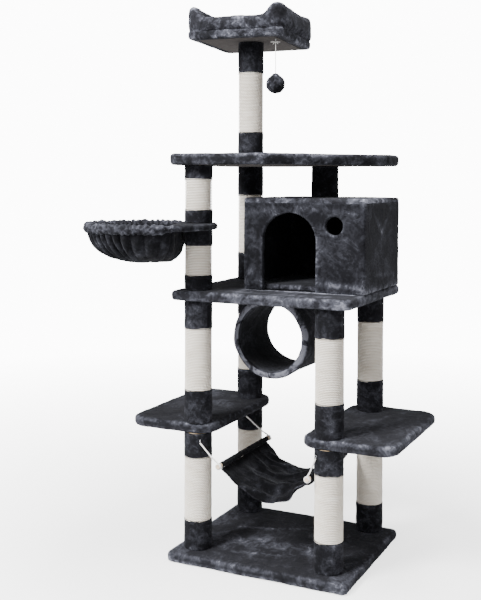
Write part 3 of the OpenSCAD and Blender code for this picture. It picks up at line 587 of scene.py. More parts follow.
def wall_profile(outer, inner, low, high, edge, step):
    """The section of a tube wall with rounded ends, as (radius, height) points."""
    arcs = []
    for cx, cy, start in (
        (outer - edge, low + edge, -90), (outer - edge, high - edge, 0),
        (inner + edge, high - edge, 90), (inner + edge, low + edge, 180),
    ):
        angles = [math.radians(start + 90 * k / 4) for k in range(5)]
        arcs.append([(cx + edge * math.cos(a), cy + edge * math.sin(a)) for a in angles])
    profile = []
    for i, arc in enumerate(arcs):
        profile += arc
        following = arcs[(i + 1) % 4][0]
        run = math.dist(arc[-1], following)
        steps = max(1, round(run / step))
        for k in range(1, steps):
            share = k / steps
            profile.append(tuple(a + (b - a) * share for a, b in zip(arc[-1], following)))
    return profile


# %% [markdown]
# ## Geometry Nodes helpers
# A node tree grows what repeats or follows a path. Its sizes are named inputs. Setting one goes
# through the socket's identifier, and the grown result is copied to a plain mesh at once.

# %% Trees and what they grow
def new_tree(name, inputs):
    tree = bpy.data.node_groups.new(name, "GeometryNodeTree")
    tree.interface.new_socket("Geometry", in_out="INPUT", socket_type="NodeSocketGeometry")
    for label, kind in inputs.items():
        tree.interface.new_socket(label, in_out="INPUT", socket_type="NodeSocket" + kind)
    tree.interface.new_socket("Geometry", in_out="OUTPUT", socket_type="NodeSocketGeometry")
    return tree, tree.nodes.new("NodeGroupInput").outputs


def grown_node(tree, kind, inputs, **settings):
    node = tree.nodes.new(kind)
    for key, value in settings.items():
        setattr(node, key, value)
    for key, value in inputs.items():
        if isinstance(value, bpy.types.NodeSocket):
            tree.links.new(value, node.inputs[key])
        else:
            node.inputs[key].default_value = value
    return node


def close_tree(tree, geometry, material):
    whole = grown_node(tree, "GeometryNodeRealizeInstances", {"Geometry": geometry})
    painted = {"Geometry": whole.outputs["Geometry"], "Material": material}
    last = grown_node(tree, "GeometryNodeSetMaterial", painted)
    grown_node(tree, "NodeGroupOutput", {"Geometry": last.outputs["Geometry"]})


def grow(name, tree, material, start=None, **values):
    data = start or bpy.data.meshes.new(name)
    seedling = bpy.data.objects.new(name + " seedling", data)
    bpy.context.scene.collection.objects.link(seedling)
    growth = seedling.modifiers.new("growth", "NODES")
    growth.node_group = tree
    values["Material"] = material
    for item in tree.interface.items_tree:
        label = item.name.replace(" ", "_")
        if item.in_out == "INPUT" and label in values:
            growth[item.identifier] = values[label]
    return piece(name, live_mesh(seedling), material)


def tube_along(tree, path, profile):
    """Curve to Mesh with the attributes that the twisted finishes read."""
    marked = {}
    for label, curve, output in (("along", path, "Length"), ("around", profile, "Factor")):
        way = tree.nodes.new("GeometryNodeSplineParameter").outputs[output]
        inputs = {"Geometry": curve, "Name": label, "Value": way}
        store = grown_node(tree, "GeometryNodeStoreNamedAttribute", inputs, data_type="FLOAT")
        marked[label] = store.outputs["Geometry"]
    inputs = {"Curve": marked["along"], "Profile Curve": marked["around"], "Fill Caps": True}
    return grown_node(tree, "GeometryNodeCurveToMesh", inputs).outputs["Mesh"]


# %% [markdown]
# ## Cords
# The hammock hangs on four short cords, from an eye screw on each lower post to a dowel. The toy
# hangs on one thin cord under the perch. All are under load, so they are nearly straight. Their
# routes come first because everything else has to leave room for them.

# %% Cord routes
CORD_STEPS = [(0, 0), (0.2, 0.22), (0.45, 0.5), (0.7, 0.77), (1, 1)]
HAMMOCK_CORD_ENDS = {
    "front_left": ((-0.2019, -0.2121, 0.3763), (-0.135, -0.2151, 0.3197)),
    "front_right": ((0.1859, -0.2121, 0.3763), (0.161, -0.2151, 0.3197)),
    "rear_left": ((-0.2215, 0.1677, 0.3763), (-0.135, 0.1647, 0.3197)),
    "rear_right": ((0.2055, 0.1677, 0.3763), (0.161, 0.1647, 0.3197)),
}
HAMMOCK_CORD = 0.0044
TOY_CORD = 0.0025
TOY_TOP = Vector((-0.1054, 0.1476, 1.6702))
BALL_MIDDLE = Vector(middle(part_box("toy_ball")))


def hammock_route(top, end):
    route = []
    for across, down in CORD_STEPS:
        share = (across, across, down)
        route.append(Vector(a + (b - a) * s for a, b, s in zip(top, end, share)))
    return route


def smooth_route(route, steps=6):
    """More points on a smooth curve through the route's own points."""
    ends = [2 * route[0] - route[1], *route, 2 * route[-1] - route[-2]]
    smooth = []
    for a, b, c, d in zip(ends, ends[1:], ends[2:], ends[3:]):
        for k in range(steps):
            t = k / steps
            smooth.append(
                0.5 * (2 * b + (c - a) * t + (2 * a - 5 * b + 4 * c - d) * t ** 2
                       + (3 * b - a - 3 * c + d) * t ** 3)
            )
    return [*smooth, route[-1]]


def route_length(route):
    return sum((b - a).length for a, b in zip(route, route[1:]))


def polyline(route):
    curve = bpy.data.curves.new("route", "CURVE")
    curve.dimensions = "3D"
    spline = curve.splines.new("POLY")
    spline.points.add(len(route) - 1)
    for point, spot in zip(spline.points, route):
        point.co = (*spot, 1)
    return curve


# %% A tree for cords
cord_tree, cord_in = new_tree("cord", {"Radius": "Float", "Material": "Material"})
cord_round = grown_node(
    cord_tree, "GeometryNodeCurvePrimitiveCircle", {"Resolution": 12, "Radius": cord_in["Radius"]}
)
cord_tube = tube_along(cord_tree, cord_in["Geometry"], cord_round.outputs["Curve"])
close_tree(cord_tree, cord_tube, cord_in["Material"])

for corner, (top, end) in HAMMOCK_CORD_ENDS.items():
    route = smooth_route(hammock_route(top, end), 5)
    name = corner + "_hammock_cord_twist"
    strand = grow(name, cord_tree, WHITE_CORD, polyline(route), Radius=HAMMOCK_CORD / 2)
    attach(strand, corner + "_cord")
    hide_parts(corner + "_hammock_cord")

# %% The toy's cord, with its bow
toy_route = [TOY_TOP.lerp(Vector((TOY_TOP.x, TOY_TOP.y, BALL_MIDDLE.z)), k / 18) for k in range(19)]
toy_string = grow("toy_string", cord_tree, WHITE_CORD, polyline(toy_route), Radius=TOY_CORD / 2)
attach(toy_string, "toy")
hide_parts("toy_cord")


def bow_route(side, size):
    """One loop of the bow and its loose end, out to one side of the knot."""
    loop = []
    for k in range(15):
        angle = math.pi * 2 * k / 14
        reach = size * math.sin(angle / 2) ** 2
        open_by = size * math.sin(angle)
        loop.append(Vector((side * reach, 0.25 * open_by, 0.10 * open_by)))
    tail = [size * Vector((side * 0.30 * k, -0.1 * k, -0.16 * k * k)) for k in (0.6, 1.2, 1.8)]
    return loop + tail


bow_turn = Matrix.Rotation(math.radians(24), 3, "Z")
knot_middle = Vector(middle(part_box("toy_knot")))
for label, side, size in (("left", -1, 0.017), ("right", 1, 0.014)):
    route = [knot_middle + bow_turn @ spot for spot in bow_route(side, size)]
    curve = polyline(smooth_route(route, 3))
    part = grow("toy_bow_" + label, cord_tree, WHITE_CORD, curve, Radius=TOY_CORD / 2)
    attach(part, "toy_swivel")
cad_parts["toy_knot"].data.materials.clear()
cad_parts["toy_knot"].data.materials.append(WHITE_CORD)
print("toy cord is", round(route_length(toy_route) * 1000), "mm long")

# %% [markdown]
# ## Sisal
# Each post is wrapped in one long rope, turn against turn. That is a helix, so a node tree makes
# it: a spiral of the post's radius, one rotation for each rope width, with a slightly flattened
# round section. The flattening is what rope does when it is wound tight and glued.

# %% A tree for wound rope
ROPE_PITCH = 0.0050
ROPE_DEPTH = 0.0042
ROPE_WIDTH = 1.5 * ROPE_PITCH
rope_tree, rope_in = new_tree(
    "wound rope",
    {
        "Radius": "Float", "Height": "Float", "Turns": "Float", "Depth": "Float",
        "Width": "Float", "Centre": "Vector", "Material": "Material",
    },
)
spiral = grown_node(
    rope_tree, "GeometryNodeCurveSpiral",
    {
        "Resolution": 40, "Rotations": rope_in["Turns"], "Start Radius": rope_in["Radius"],
        "End Radius": rope_in["Radius"], "Height": rope_in["Height"],
    },
)
placed = grown_node(
    rope_tree, "GeometryNodeTransform",
    {"Geometry": spiral.outputs["Curve"], "Translation": rope_in["Centre"]},
)
upright = grown_node(
    rope_tree, "GeometryNodeSetCurveNormal", {"Curve": placed.outputs["Geometry"]}, mode="Z_UP"
)
rope_round = grown_node(
    rope_tree, "GeometryNodeCurvePrimitiveCircle", {"Resolution": 8, "Radius": 0.5}
)
rope_shape = grown_node(
    rope_tree, "ShaderNodeCombineXYZ", {"X": rope_in["Width"], "Y": rope_in["Depth"], "Z": 1.0}
)
rope_section = grown_node(
    rope_tree, "GeometryNodeTransform",
    {"Geometry": rope_round.outputs["Curve"], "Scale": rope_shape.outputs["Vector"]},
)
rope_tube = tube_along(rope_tree, upright.outputs["Curve"], rope_section.outputs["Geometry"])
close_tree(rope_tree, rope_tube, rope_in["Material"])

# %% Wind every post
WRAPS = [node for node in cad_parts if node.endswith("_sisal")]


def joined(name, parts):
    """Several pieces of one finish as one piece."""
    whole = bmesh.new()
    for part in parts:
        whole.from_mesh(part.data)
    mesh = bpy.data.meshes.new(name)
    whole.to_mesh(mesh)
    whole.free()
    material = parts[0].data.materials[0]
    for part in parts:
        bpy.data.objects.remove(part)
    return piece(name, mesh, material)


for node in WRAPS:
    winds = []
    for low, high in solids(node):
        x, y, _ = middle((low, high))
        outer = (high[0] - low[0]) / 2
        height = high[2] - low[2] + ROPE_PITCH
        winds.append(grow(
            node + "_wind", rope_tree, SISAL,
            Radius=outer - ROPE_DEPTH / 2, Height=height, Turns=height / ROPE_PITCH,
            Depth=ROPE_DEPTH, Width=ROPE_WIDTH,
            Centre=(x, y, low[2] - ROPE_PITCH / 2),
        ))
    rope = joined(node + "_rope", winds) if len(winds) > 1 else winds[0]
    rope.name = node + "_rope"
    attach(rope, "frame")
    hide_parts(node)
    print(rope.name, len(rope.data.polygons), "faces")

# %% [markdown]
# ## Plush sleeves
# The bare ends of the posts wear plush sleeves. A sleeve is a short tube of padding with a glued
# seam down its back. Every sleeve is swept from its CAD box, so the heights are the CAD's. The
# cut edge of plush sheds a fringe of fibres, and that hides how the rope starts, so a node tree
# scatters short hairs around each edge that lies on the rope.

# %% Sleeves
SLEEVE_PLUSH = plush("sleeve plush", 1.0, 0.95, 9.0, 42.0, contrast=0.85)
SEAM_AT = math.radians(80)
SEAM_WIDTH = 0.004
SEAM_DEPTH = 0.0018
SLEEVE_EDGE = 0.0028
SLEEVE_FACES = 0.0045
TUBE_R = middle(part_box("roof_post_tube"))[0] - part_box("roof_post_tube")[0][0]


def seam_and_nap(mesh, centre, radius, seed):
    points = read_points(mesh)
    angle = np.arctan2(points[:, 1] - centre[1], points[:, 0] - centre[0])
    away = np.angle(np.exp(1j * (angle - SEAM_AT))) * radius
    outward = (points[:, :2] - np.array(centre[:2])) / radius
    on_outside = np.linalg.norm(outward, axis=1) > 0.95
    dip = SEAM_DEPTH * np.exp(-((away / SEAM_WIDTH) ** 2)) * on_outside
    points[:, :2] -= outward * dip[:, None]
    write_points(mesh, points)
    relief(mesh, [(0.045, 0.0010), (0.014, 0.0006)], seed)


def sleeve_parts(node):
    parts = []
    for index, (low, high) in enumerate(solids(node)):
        centre = middle((low, high))
        radius = (high[0] - low[0]) / 2
        foot, top = low[2] - centre[2], high[2] - centre[2]
        profile = wall_profile(radius, TUBE_R, foot, top, SLEEVE_EDGE, SLEEVE_FACES)
        mesh = swept_ring(profile, 72, centre)
        seam_and_nap(mesh, centre, radius, index + low[2])
        parts.append(piece(node + "_part", mesh, SLEEVE_PLUSH))
    return parts


for node in [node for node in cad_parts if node.endswith(("_sleeves", "_sleeve"))]:
    sleeve = joined(node + "_plush", sleeve_parts(node))
    mark_sheen_edges(sleeve.data)
    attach(sleeve, "frame")
    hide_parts(node)
    print(sleeve.name, len(sleeve.data.polygons), "faces")

# %% A tree for the fringe of a cut edge
fringe_tree, fringe_in = new_tree(
    "fringe",
    {
        "Radius": "Float", "Hairs": "Int", "Length": "Float", "Centre": "Vector",
        "Droop": "Float", "Seed": "Int", "Material": "Material",
    },
)
edge_circle = grown_node(
    fringe_tree, "GeometryNodeCurvePrimitiveCircle",
    {"Resolution": 64, "Radius": fringe_in["Radius"]},
)
edge_points = grown_node(
    fringe_tree, "GeometryNodeCurveToPoints",
    {"Curve": edge_circle.outputs["Curve"], "Count": fringe_in["Hairs"]}, mode="COUNT",
)
hair = grown_node(
    fringe_tree, "GeometryNodeMeshCone",
    {
        "Vertices": 3, "Side Segments": 1, "Fill Segments": 1, "Radius Top": 0.00008,
        "Radius Bottom": 0.0004, "Depth": fringe_in["Length"],
    },
)
hair_lean = grown_node(
    fringe_tree, "FunctionNodeRandomValue",
    {0: (-0.5, -0.5, -3.1), 1: (0.5, 0.5, 3.1), "Seed": fringe_in["Seed"]},
    data_type="FLOAT_VECTOR",
)
hair_size = grown_node(
    fringe_tree, "FunctionNodeRandomValue",
    {2: 0.5, 3: 1.2, "Seed": fringe_in["Seed"]}, data_type="FLOAT",
)
lean_or_flip = grown_node(
    fringe_tree, "ShaderNodeCombineXYZ", {"X": fringe_in["Droop"], "Y": 0.0, "Z": 0.0}
)
hair_turn = grown_node(
    fringe_tree, "ShaderNodeVectorMath",
    {0: hair_lean.outputs[0], 1: lean_or_flip.outputs["Vector"]}, operation="ADD",
)
hairs = grown_node(
    fringe_tree, "GeometryNodeInstanceOnPoints",
    {
        "Points": edge_points.outputs["Points"], "Instance": hair.outputs["Mesh"],
        "Rotation": hair_turn.outputs["Vector"], "Scale": hair_size.outputs[1],
    },
)
fringe_place = grown_node(
    fringe_tree, "GeometryNodeTransform",
    {"Geometry": hairs.outputs["Instances"], "Translation": fringe_in["Centre"]},
)
close_tree(fringe_tree, fringe_place.outputs["Geometry"], fringe_in["Material"])

# %% Fringes where the sleeves meet the rope
HAIRS = 260
HAIR_LENGTH = 0.0045
HAIR_OUTWARDS = 0.0012
fringes = []
for node in WRAPS:
    for low, high in solids(node):
        x, y, _ = middle((low, high))
        radius = (high[0] - low[0]) / 2 + HAIR_OUTWARDS
        for height, droop, seed in ((low[2], 0.0, 1), (high[2], math.pi, 2)):
            fringes.append(grow(
                "fringe", fringe_tree, SLEEVE_PLUSH,
                Radius=radius, Hairs=HAIRS, Length=HAIR_LENGTH, Centre=(x, y, height),
                Droop=droop, Seed=seed + len(fringes),
            ))
fringe = joined("sleeve_edge_fringe", fringes)
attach(fringe, "frame")
print(len(fringe.data.polygons), "fringe faces")

# %% [markdown]
# ## Platforms
# A platform is a board wrapped in padding and plush: a rounded edge and a hem
# that turns under and frames the felt. The slab is remeshed, its underside is pressed in above
# the felt so that the hem stands proud, and the top and edge get padding's gentle unevenness.
# Nothing may reach below the floor, which matters to the base's hem. Brush strokes on the base
# show where the pile has been stroked flat; on the middle platform the strongest stroke is a
# painted highlight, the bright band where light falls in front of the house, over flattened pile.

# %% A covered platform
HEM = 0.030
HEM_SLOPE = 0.006
HEM_SLOPE_BEFORE = 0.0035
FELT_DEPTH = 0.0044
EDGE = 0.0105
PLATFORM_RELIEF = [(0.110, 0.0013), (0.035, 0.0008), (0.012, 0.0005)]


def covered_platform(name, node, corners, radius, material, strokes=(), bulge=0.0):
    low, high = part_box(node)
    outline = rounded(inset(corners, -bulge), radius + bulge)
    mesh = remeshed(slab(outline, low[2], high[2], EDGE), 0.005, 2)
    points = read_points(mesh)
    under = points[:, 2] < low[2] + 0.004
    depth = depth_inside(points, corners, radius)
    pressed = np.clip((depth - (HEM - HEM_SLOPE_BEFORE)) / HEM_SLOPE, 0, 1)
    points[:, 2] += np.where(under, FELT_DEPTH * pressed, 0)
    write_points(mesh, points)
    relief(mesh, PLATFORM_RELIEF, low[2])
    points = read_points(mesh)
    points[:, 2] = np.maximum(points[:, 2], 0)
    write_points(mesh, points)
    cover = plush_piece(name, mesh, material, strokes)
    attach(cover, "frame")
    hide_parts(node)
    print(name, len(mesh.polygons), "faces")


def box_corners(node):
    low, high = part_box(node)
    return rectangle(low, high)


# %% The six platforms
# the tops' copies of the plush are lifted above the walls' and sleeves' copies: painted light from
# above
BASE_PLUSH = plush("base plush", 2.0, 1.55, 6.0, 26.0, 0.4, contrast=0.80)
SHELF_PLUSH = plush("shelf plush", 3.1, 1.45, 5.0, 24.0, 0.9, contrast=0.80)
MIDDLE_PLUSH = plush("middle platform plush", 4.3, 1.75, 5.0, 26.0, 0.2, contrast=0.85)
UPPER_PLUSH = plush("upper platform plush", 5.2, 1.30, 7.0, 36.0)
PERCH_PLUSH = plush("perch plush", 6.4, 1.75, 8.0, 38.0)


def on_top(node, along, back):
    """A place on a platform's top: distances from its left side and from its front."""
    low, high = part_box(node)
    return (low[0] + along, low[1] + back, high[2])


def top_strokes(node, strokes):
    return [
        (on_top(node, *start), on_top(node, *end), width, strength)
        for start, end, width, strength in strokes
    ]


BASE_STROKES = top_strokes("base_cover", [
    ((0.16, 0.18), (0.40, 0.22), 0.050, 0.35),
    ((0.20, 0.10), (0.34, 0.13), 0.010, 0.35),
    ((0.12, 0.30), (0.30, 0.36), 0.012, 0.40),
    ((0.35, 0.34), (0.50, 0.30), 0.030, 0.30),
])
# the first stroke is a painted highlight, the bright band where light falls in front of the house,
# over flattened pile
MIDDLE_NAP_AND_HIGHLIGHT_STROKES = top_strokes("middle_cover", [
    ((0.20, 0.135), (0.56, 0.135), 0.014, 1.00),
    ((0.10, 0.060), (0.50, 0.050), 0.016, 0.35),
    ((0.16, 0.095), (0.40, 0.090), 0.006, 0.50),
])
BASE_CORNER_R, MIDDLE_CORNER_R, SHELF_CORNER_R = 0.018, 0.026, 0.058
covered_platform(
    "base_plush_cover", "base_cover", box_corners("base_cover"), BASE_CORNER_R,
    BASE_PLUSH, BASE_STROKES,
)
covered_platform(
    "middle_plush_cover", "middle_cover", box_corners("middle_cover"), MIDDLE_CORNER_R,
    MIDDLE_PLUSH, MIDDLE_NAP_AND_HIGHLIGHT_STROKES,
)
for side in ("left", "right"):
    node = side + "_shelf_cover"
    covered_platform(
        side + "_shelf_plush_cover", node, box_corners(node), SHELF_CORNER_R, SHELF_PLUSH
    )

# %% The upper platform has a cut corner
UPPER_FRONT_W = 0.335
UPPER_SIDE_D = 0.150
UPPER_CORNER_R = 0.045
low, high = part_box("upper_cover")
upper_corners = rectangle(low, high)
upper_corners[1:2] = [
    Vector((low[0] + UPPER_FRONT_W, low[1])), Vector((high[0], high[1] - UPPER_SIDE_D)),
]
covered_platform("upper_plush_cover", "upper_cover", upper_corners, UPPER_CORNER_R, UPPER_PLUSH)

# %% [markdown]
# ## Perch
# The perch is a small platform, turned a little on its post, with a stuffed rim around three and
# a half sides: full height at the sides and back, low at the front, with a rounded ear at each
# front corner. The rim is swept around the board's edge and then blown up a little as cloth.

# %% The perch's own directions
PERCH_W, PERCH_D = 0.333, 0.400
PERCH_TURN = math.radians(6.5)
PERCH_MIDDLE = Vector((*middle(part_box("perch_cover"))[:2], 0))
PERCH_SPIN = Matrix.Translation(PERCH_MIDDLE) @ Matrix.Rotation(PERCH_TURN, 4, "Z")
PERCH_CORNER_R = 0.024
BAND_BULGE = 0.003
perch_outline = rectangle((-PERCH_W / 2, -PERCH_D / 2), (PERCH_W / 2, PERCH_D / 2))
perch_corners = [(PERCH_SPIN @ corner.to_3d()).to_2d() for corner in perch_outline]
covered_platform(
    "perch_plush_cover", "perch_cover", perch_corners, PERCH_CORNER_R, PERCH_PLUSH,
    bulge=BAND_BULGE,
)

# %% The perch's rim before it is stuffed
RIM_T = 0.042
RIM_OUTWARDS = 0.009
RIM_FRONT_H = 0.044
RIM_EAR = 0.024
RIM_SWOOP = 0.040
RIM_OVERLAP = 0.010
RIM_CORNER_R = 0.020
RIM_STATIONS = 150
RIM_SECTION = 22
RIM_SQUARENESS = 0.55


def smoothstep(a, b, x):
    t = np.clip((x - a) / (b - a), 0, 1)
    return t * t * (3 - 2 * t)


def rim_height(x, y, full):
    """Height of the rim's top at a place in the perch's own directions."""
    front = y < -PERCH_D / 2 + RIM_T * 1.2
    ear_start = PERCH_W / 2 - RIM_EAR - RIM_SWOOP
    rise = smoothstep(ear_start, ear_start + RIM_SWOOP, abs(x))
    low_front = RIM_FRONT_H + (full - RIM_FRONT_H) * rise
    return low_front if front else full


def rim_mesh():
    low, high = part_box("perch_rim")
    full = high[2] - low[2]
    centre_line = rounded(inset(perch_outline, RIM_T / 2), RIM_CORNER_R, 6)
    route = [Vector((*p, 0)) for p in centre_line]
    even = []
    total = route_length([*route, route[0]])
    walked, goal = 0.0, 0.0
    for a, b in zip(route, [*route[1:], route[0]]):
        step = (b - a).length
        while goal < walked + step and len(even) < RIM_STATIONS:
            even.append(a.lerp(b, (goal - walked) / step))
            goal += total / RIM_STATIONS
        walked += step
    points, faces = [], []
    section = RIM_SECTION
    for i, spot in enumerate(even):
        along = (even[(i + 1) % len(even)] - even[i - 1]).normalized()
        across = Vector((along.y, -along.x, 0))
        height = rim_height(spot.x, spot.y, full) + RIM_OVERLAP
        for k in range(section):
            angle = 2 * math.pi * k / section
            c, s = math.cos(angle), math.sin(angle)
            sideways = math.copysign(abs(c) ** RIM_SQUARENESS, c)
            upwards = math.copysign(abs(s) ** RIM_SQUARENESS, s)
            wide = RIM_T / 2 * sideways + RIM_OUTWARDS
            tall = height / 2 + height / 2 * upwards - RIM_OVERLAP
            points.append(PERCH_SPIN @ (spot + across * wide + Vector((0, 0, low[2] + tall))))
    for i in range(len(even)):
        for k in range(section):
            n, m = (i + 1) % len(even), (k + 1) % section
            faces.append((i * section + k, n * section + k, n * section + m, i * section + m))
    return mesh_of(points, faces)


# %% [markdown]
# Stuffing is simulated: the draft shape is remeshed, Blender's cloth blows it up from inside for
# twenty frames with gravity off, and no point may move further than the cap. Curved stretches
# bulge and corners crumple the way sewn plush does.

# %% Stuffing by cloth simulation
def stuffed(mesh, voxel, pressure, cap, frames=20, stiff=25.0):
    draft = remeshed(mesh, voxel, 2)
    start = read_points(draft)
    pad = piece("pad", draft, FELT)
    cloth = pad.modifiers.new("stuffing", "CLOTH")
    settings = cloth.settings
    settings.quality = 5
    settings.mass = 0.25
    settings.tension_stiffness = stiff
    settings.compression_stiffness = stiff
    settings.shear_stiffness = stiff / 3
    settings.bending_stiffness = 0.6
    settings.use_pressure = True
    settings.uniform_pressure_force = pressure
    settings.effector_weights.gravity = 0
    cloth.collision_settings.use_collision = False
    cloth.point_cache.frame_start = 1
    cloth.point_cache.frame_end = frames
    for step in range(1, frames + 1):
        bpy.context.scene.frame_set(step)
    blown = live_mesh(pad)
    bpy.context.scene.frame_set(1)
    moved = read_points(blown) - start
    reach = np.linalg.norm(moved, axis=1, keepdims=True)
    write_points(blown, start + moved * np.minimum(1, cap / np.maximum(reach, 1e-9)))
    return blown


RIM_VOXEL = 0.0055
RIM_PRESSURE = 4.0
RIM_CAP = 0.008
rim = stuffed(rim_mesh(), RIM_VOXEL, RIM_PRESSURE, RIM_CAP)
relief(rim, [(0.050, 0.0024), (0.020, 0.0014), (0.009, 0.0006)], 7.0)
rim_points = read_points(rim)
rim_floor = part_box("perch_rim")[0][2]
rim_points[:, 2] = np.maximum(rim_points[:, 2], rim_floor - RIM_OVERLAP)
write_points(rim, rim_points)
perch_rim_plush = plush_piece("perch_rim_plush", rim, PERCH_PLUSH)
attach(perch_rim_plush, "frame")
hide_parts("perch_rim")
print("perch rim", len(rim.polygons), "faces")

# %% [markdown]
# ## House
# The house is a box of padded panels. Their outer plush runs on around the corners, so the four
# walls are made as one skin: a frame-shaped slab stood up around the floor, with the doorway and
# the porthole cut through before the remesh, which then rounds every cut edge like a turned hem.
# The skin runs up into the roof slab, so no gap shows under the roof's edge.

# %% Walls with the doorway and the porthole
DOOR_FROM_LEFT, DOOR_R, DOOR_H = 0.156, 0.089, 0.245
PORTHOLE_FROM_LEFT, PORTHOLE_UP, PORTHOLE_R = 0.306, 0.207, 0.0275
# the walls' copy of the plush is lifted less than the tops': painted shade on upright faces
HOUSE_PLUSH = plush("house plush", 8.2, 0.92, 5.0, 30.0, 1.1, contrast=0.60)
walls_low = np.array(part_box("house_front_panel")[0])
walls_high = np.array(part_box("house_back_panel")[1])
wall_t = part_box("house_front_panel")[1][1] - walls_low[1]


def upright_cutter(outline, low_y, high_y):
    """A prism along Y whose (x, z) outline is given."""
    count = len(outline)
    points = [(x, y, z) for y in (low_y, high_y) for x, z in outline]
    faces = [tuple(range(count)), tuple(range(2 * count - 1, count - 1, -1))]
    faces += [(i, count + i, count + (i + 1) % count, (i + 1) % count) for i in range(count)]
    mesh = mesh_of(points, faces)
    outwards = bmesh.new()
    outwards.from_mesh(mesh)
    bmesh.ops.recalc_face_normals(outwards, faces=outwards.faces)
    outwards.to_mesh(mesh)
    outwards.free()
    return mesh


def arch(x, foot, radius, top, steps=24):
    spring = top - radius
    curve = [(x + radius * math.cos(a), spring + radius * math.sin(a))
             for a in (math.pi * k / steps for k in range(steps + 1))]
    return [(x + radius, foot), *curve, (x - radius, foot)]


def circle(x, y, radius, steps=32):
    return [(x + radius * math.cos(a), y + radius * math.sin(a))
            for a in (2 * math.pi * k / steps for k in range(steps))]


def cut(mesh, *cutters):
    thing = piece("block", mesh, FELT)
    tools = []
    for cutter in cutters:
        tool = piece("cutter", cutter, FELT)
        boolean = thing.modifiers.new("cut", "BOOLEAN")
        boolean.operation = "DIFFERENCE"
        boolean.solver = "EXACT"
        boolean.object = tool
        tools.append(tool)
    result = live_mesh(thing)
    for tool in tools:
        bpy.data.objects.remove(tool)
    return result


INTO_ROOF = 0.009
WALL_CORNER_R, ROOM_CORNER_R = 0.011, 0.004
footprint = rounded(rectangle(walls_low, walls_high), WALL_CORNER_R)
room = rounded(inset(rectangle(walls_low, walls_high), wall_t), ROOM_CORNER_R)[::-1]
shell = slab(footprint, walls_low[2] - 0.001, walls_high[2] + INTO_ROOF, 0.0005, [room])
cut_y = (walls_low[1] - 0.02, walls_low[1] + wall_t + 0.01)
doorway = arch(walls_low[0] + DOOR_FROM_LEFT, walls_low[2] - 0.02, DOOR_R, walls_low[2] + DOOR_H)
porthole = circle(walls_low[0] + PORTHOLE_FROM_LEFT, walls_low[2] + PORTHOLE_UP, PORTHOLE_R)
shell = cut(shell, upright_cutter(doorway, *cut_y), upright_cutter(porthole, *cut_y))
shell = remeshed(shell, 0.0044, 4)
relief(shell, [(0.120, 0.0018), (0.040, 0.0011), (0.013, 0.0005)], 8.0)


def on_front(along, up):
    """A place on the front wall: distance from its left side and height above its foot."""
    return (walls_low[0] + along, walls_low[1], walls_low[2] + up)


def on_right(along, up):
    """A place on the right wall: distance behind its front edge and height above its foot."""
    return (walls_high[0], walls_low[1] + along, walls_low[2] + up)


HOUSE_STROKES = [
    (on_front(0.26, 0.028), on_front(0.39, 0.022), 0.011, 0.55),
    (on_front(0.00, 0.030), on_front(0.06, 0.026), 0.012, 0.35),
    (on_front(0.255, 0.06), on_front(0.262, 0.20), 0.016, 0.40),
    (on_front(0.02, 0.250), on_front(0.20, 0.262), 0.016, 0.35),
    (on_front(0.20, 0.262), on_front(0.37, 0.248), 0.012, 0.30),
    (on_front(0.03, 0.06), on_front(0.035, 0.20), 0.020, 0.30),
    (on_right(0.10, 0.240), on_right(0.175, 0.185), 0.010, 0.26),
    (on_right(0.26, 0.250), on_right(0.175, 0.185), 0.010, 0.30),
    (on_right(0.175, 0.190), on_right(0.165, 0.110), 0.008, 0.26),
    (on_right(0.12, 0.052), on_right(0.30, 0.040), 0.007, 0.26),
    (on_right(0.02, 0.012), on_right(0.36, 0.010), 0.012, 0.30),
]
walls = plush_piece("house_wall_plush", shell, HOUSE_PLUSH, HOUSE_STROKES)
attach(walls, "frame")
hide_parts("house_front_panel", "house_back_panel", "house_left_panel", "house_right_panel")
print("walls", len(shell.polygons), "faces")

# %% Roof and floor panels
# the roof's copy of the plush is lifted most: painted sheen where light grazes its top
ROOF_PLUSH = plush("roof plush", 9.5, 2.2, 6.0, 30.0, contrast=0.8)
ROOF_OVERHANG = 0.0015
PANEL_CORNER_R = 0.014
for name, node, grow_by, edge in (
    ("house_roof_plush", "house_roof", ROOF_OVERHANG, 0.0088),
    ("house_floor_plush", "house_floor", -0.0005, 0.007),
):
    low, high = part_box(node)
    outline = rounded(inset(rectangle(low, high), -grow_by), PANEL_CORNER_R)
    mesh = remeshed(slab(outline, low[2], high[2], edge), 0.005, 2)
    relief(mesh, [(0.120, 0.0014), (0.035, 0.0010), (0.012, 0.0005)], low[2])
    panel = plush_piece(name, mesh, ROOF_PLUSH if node == "house_roof" else HOUSE_PLUSH)
    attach(panel, "frame")
    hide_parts(node)
    print(name, len(mesh.polygons), "faces")

# %% [markdown]
# ## Tunnel
# The tunnel is a wide cardboard tube in a padded plush skin. The skin is thickest where it rolls
# over each end, so the wall's section gets a fat round lip front and back. The lining is then
# pressed back wherever its relief would let the cardboard through.

# %% Tunnel skin
# edge=0.50 paints a strong pale sheen on the tunnel's rolled lips
TUNNEL_PLUSH = plush("tunnel plush", 10.4, 1.15, 6.0, 26.0, edge=0.50)
TUNNEL_LIP = 0.0085
LIP_BULGE = 0.0016
LIP_REACH = 0.014
TUNNEL_WALL = 0.017
LINING_INWARDS = 0.0035
LINING_CLEARANCE = 0.0008
low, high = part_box("tunnel_cover")
tunnel_middle = middle((low, high))
tunnel_r = (high[0] - low[0]) / 2
tunnel_half = (high[1] - low[1]) / 2
lining_r = tunnel_r - TUNNEL_WALL - LINING_INWARDS
profile = wall_profile(tunnel_r, lining_r, -tunnel_half, tunnel_half, TUNNEL_LIP, 0.0055)
lip = [LIP_BULGE * math.exp(-((tunnel_half - abs(h)) / LIP_REACH) ** 2) for _, h in profile]
profile = [(r + (s if r > tunnel_r - TUNNEL_LIP else -s), h) for (r, h), s in zip(profile, lip)]
skin = swept_ring(profile, 150)
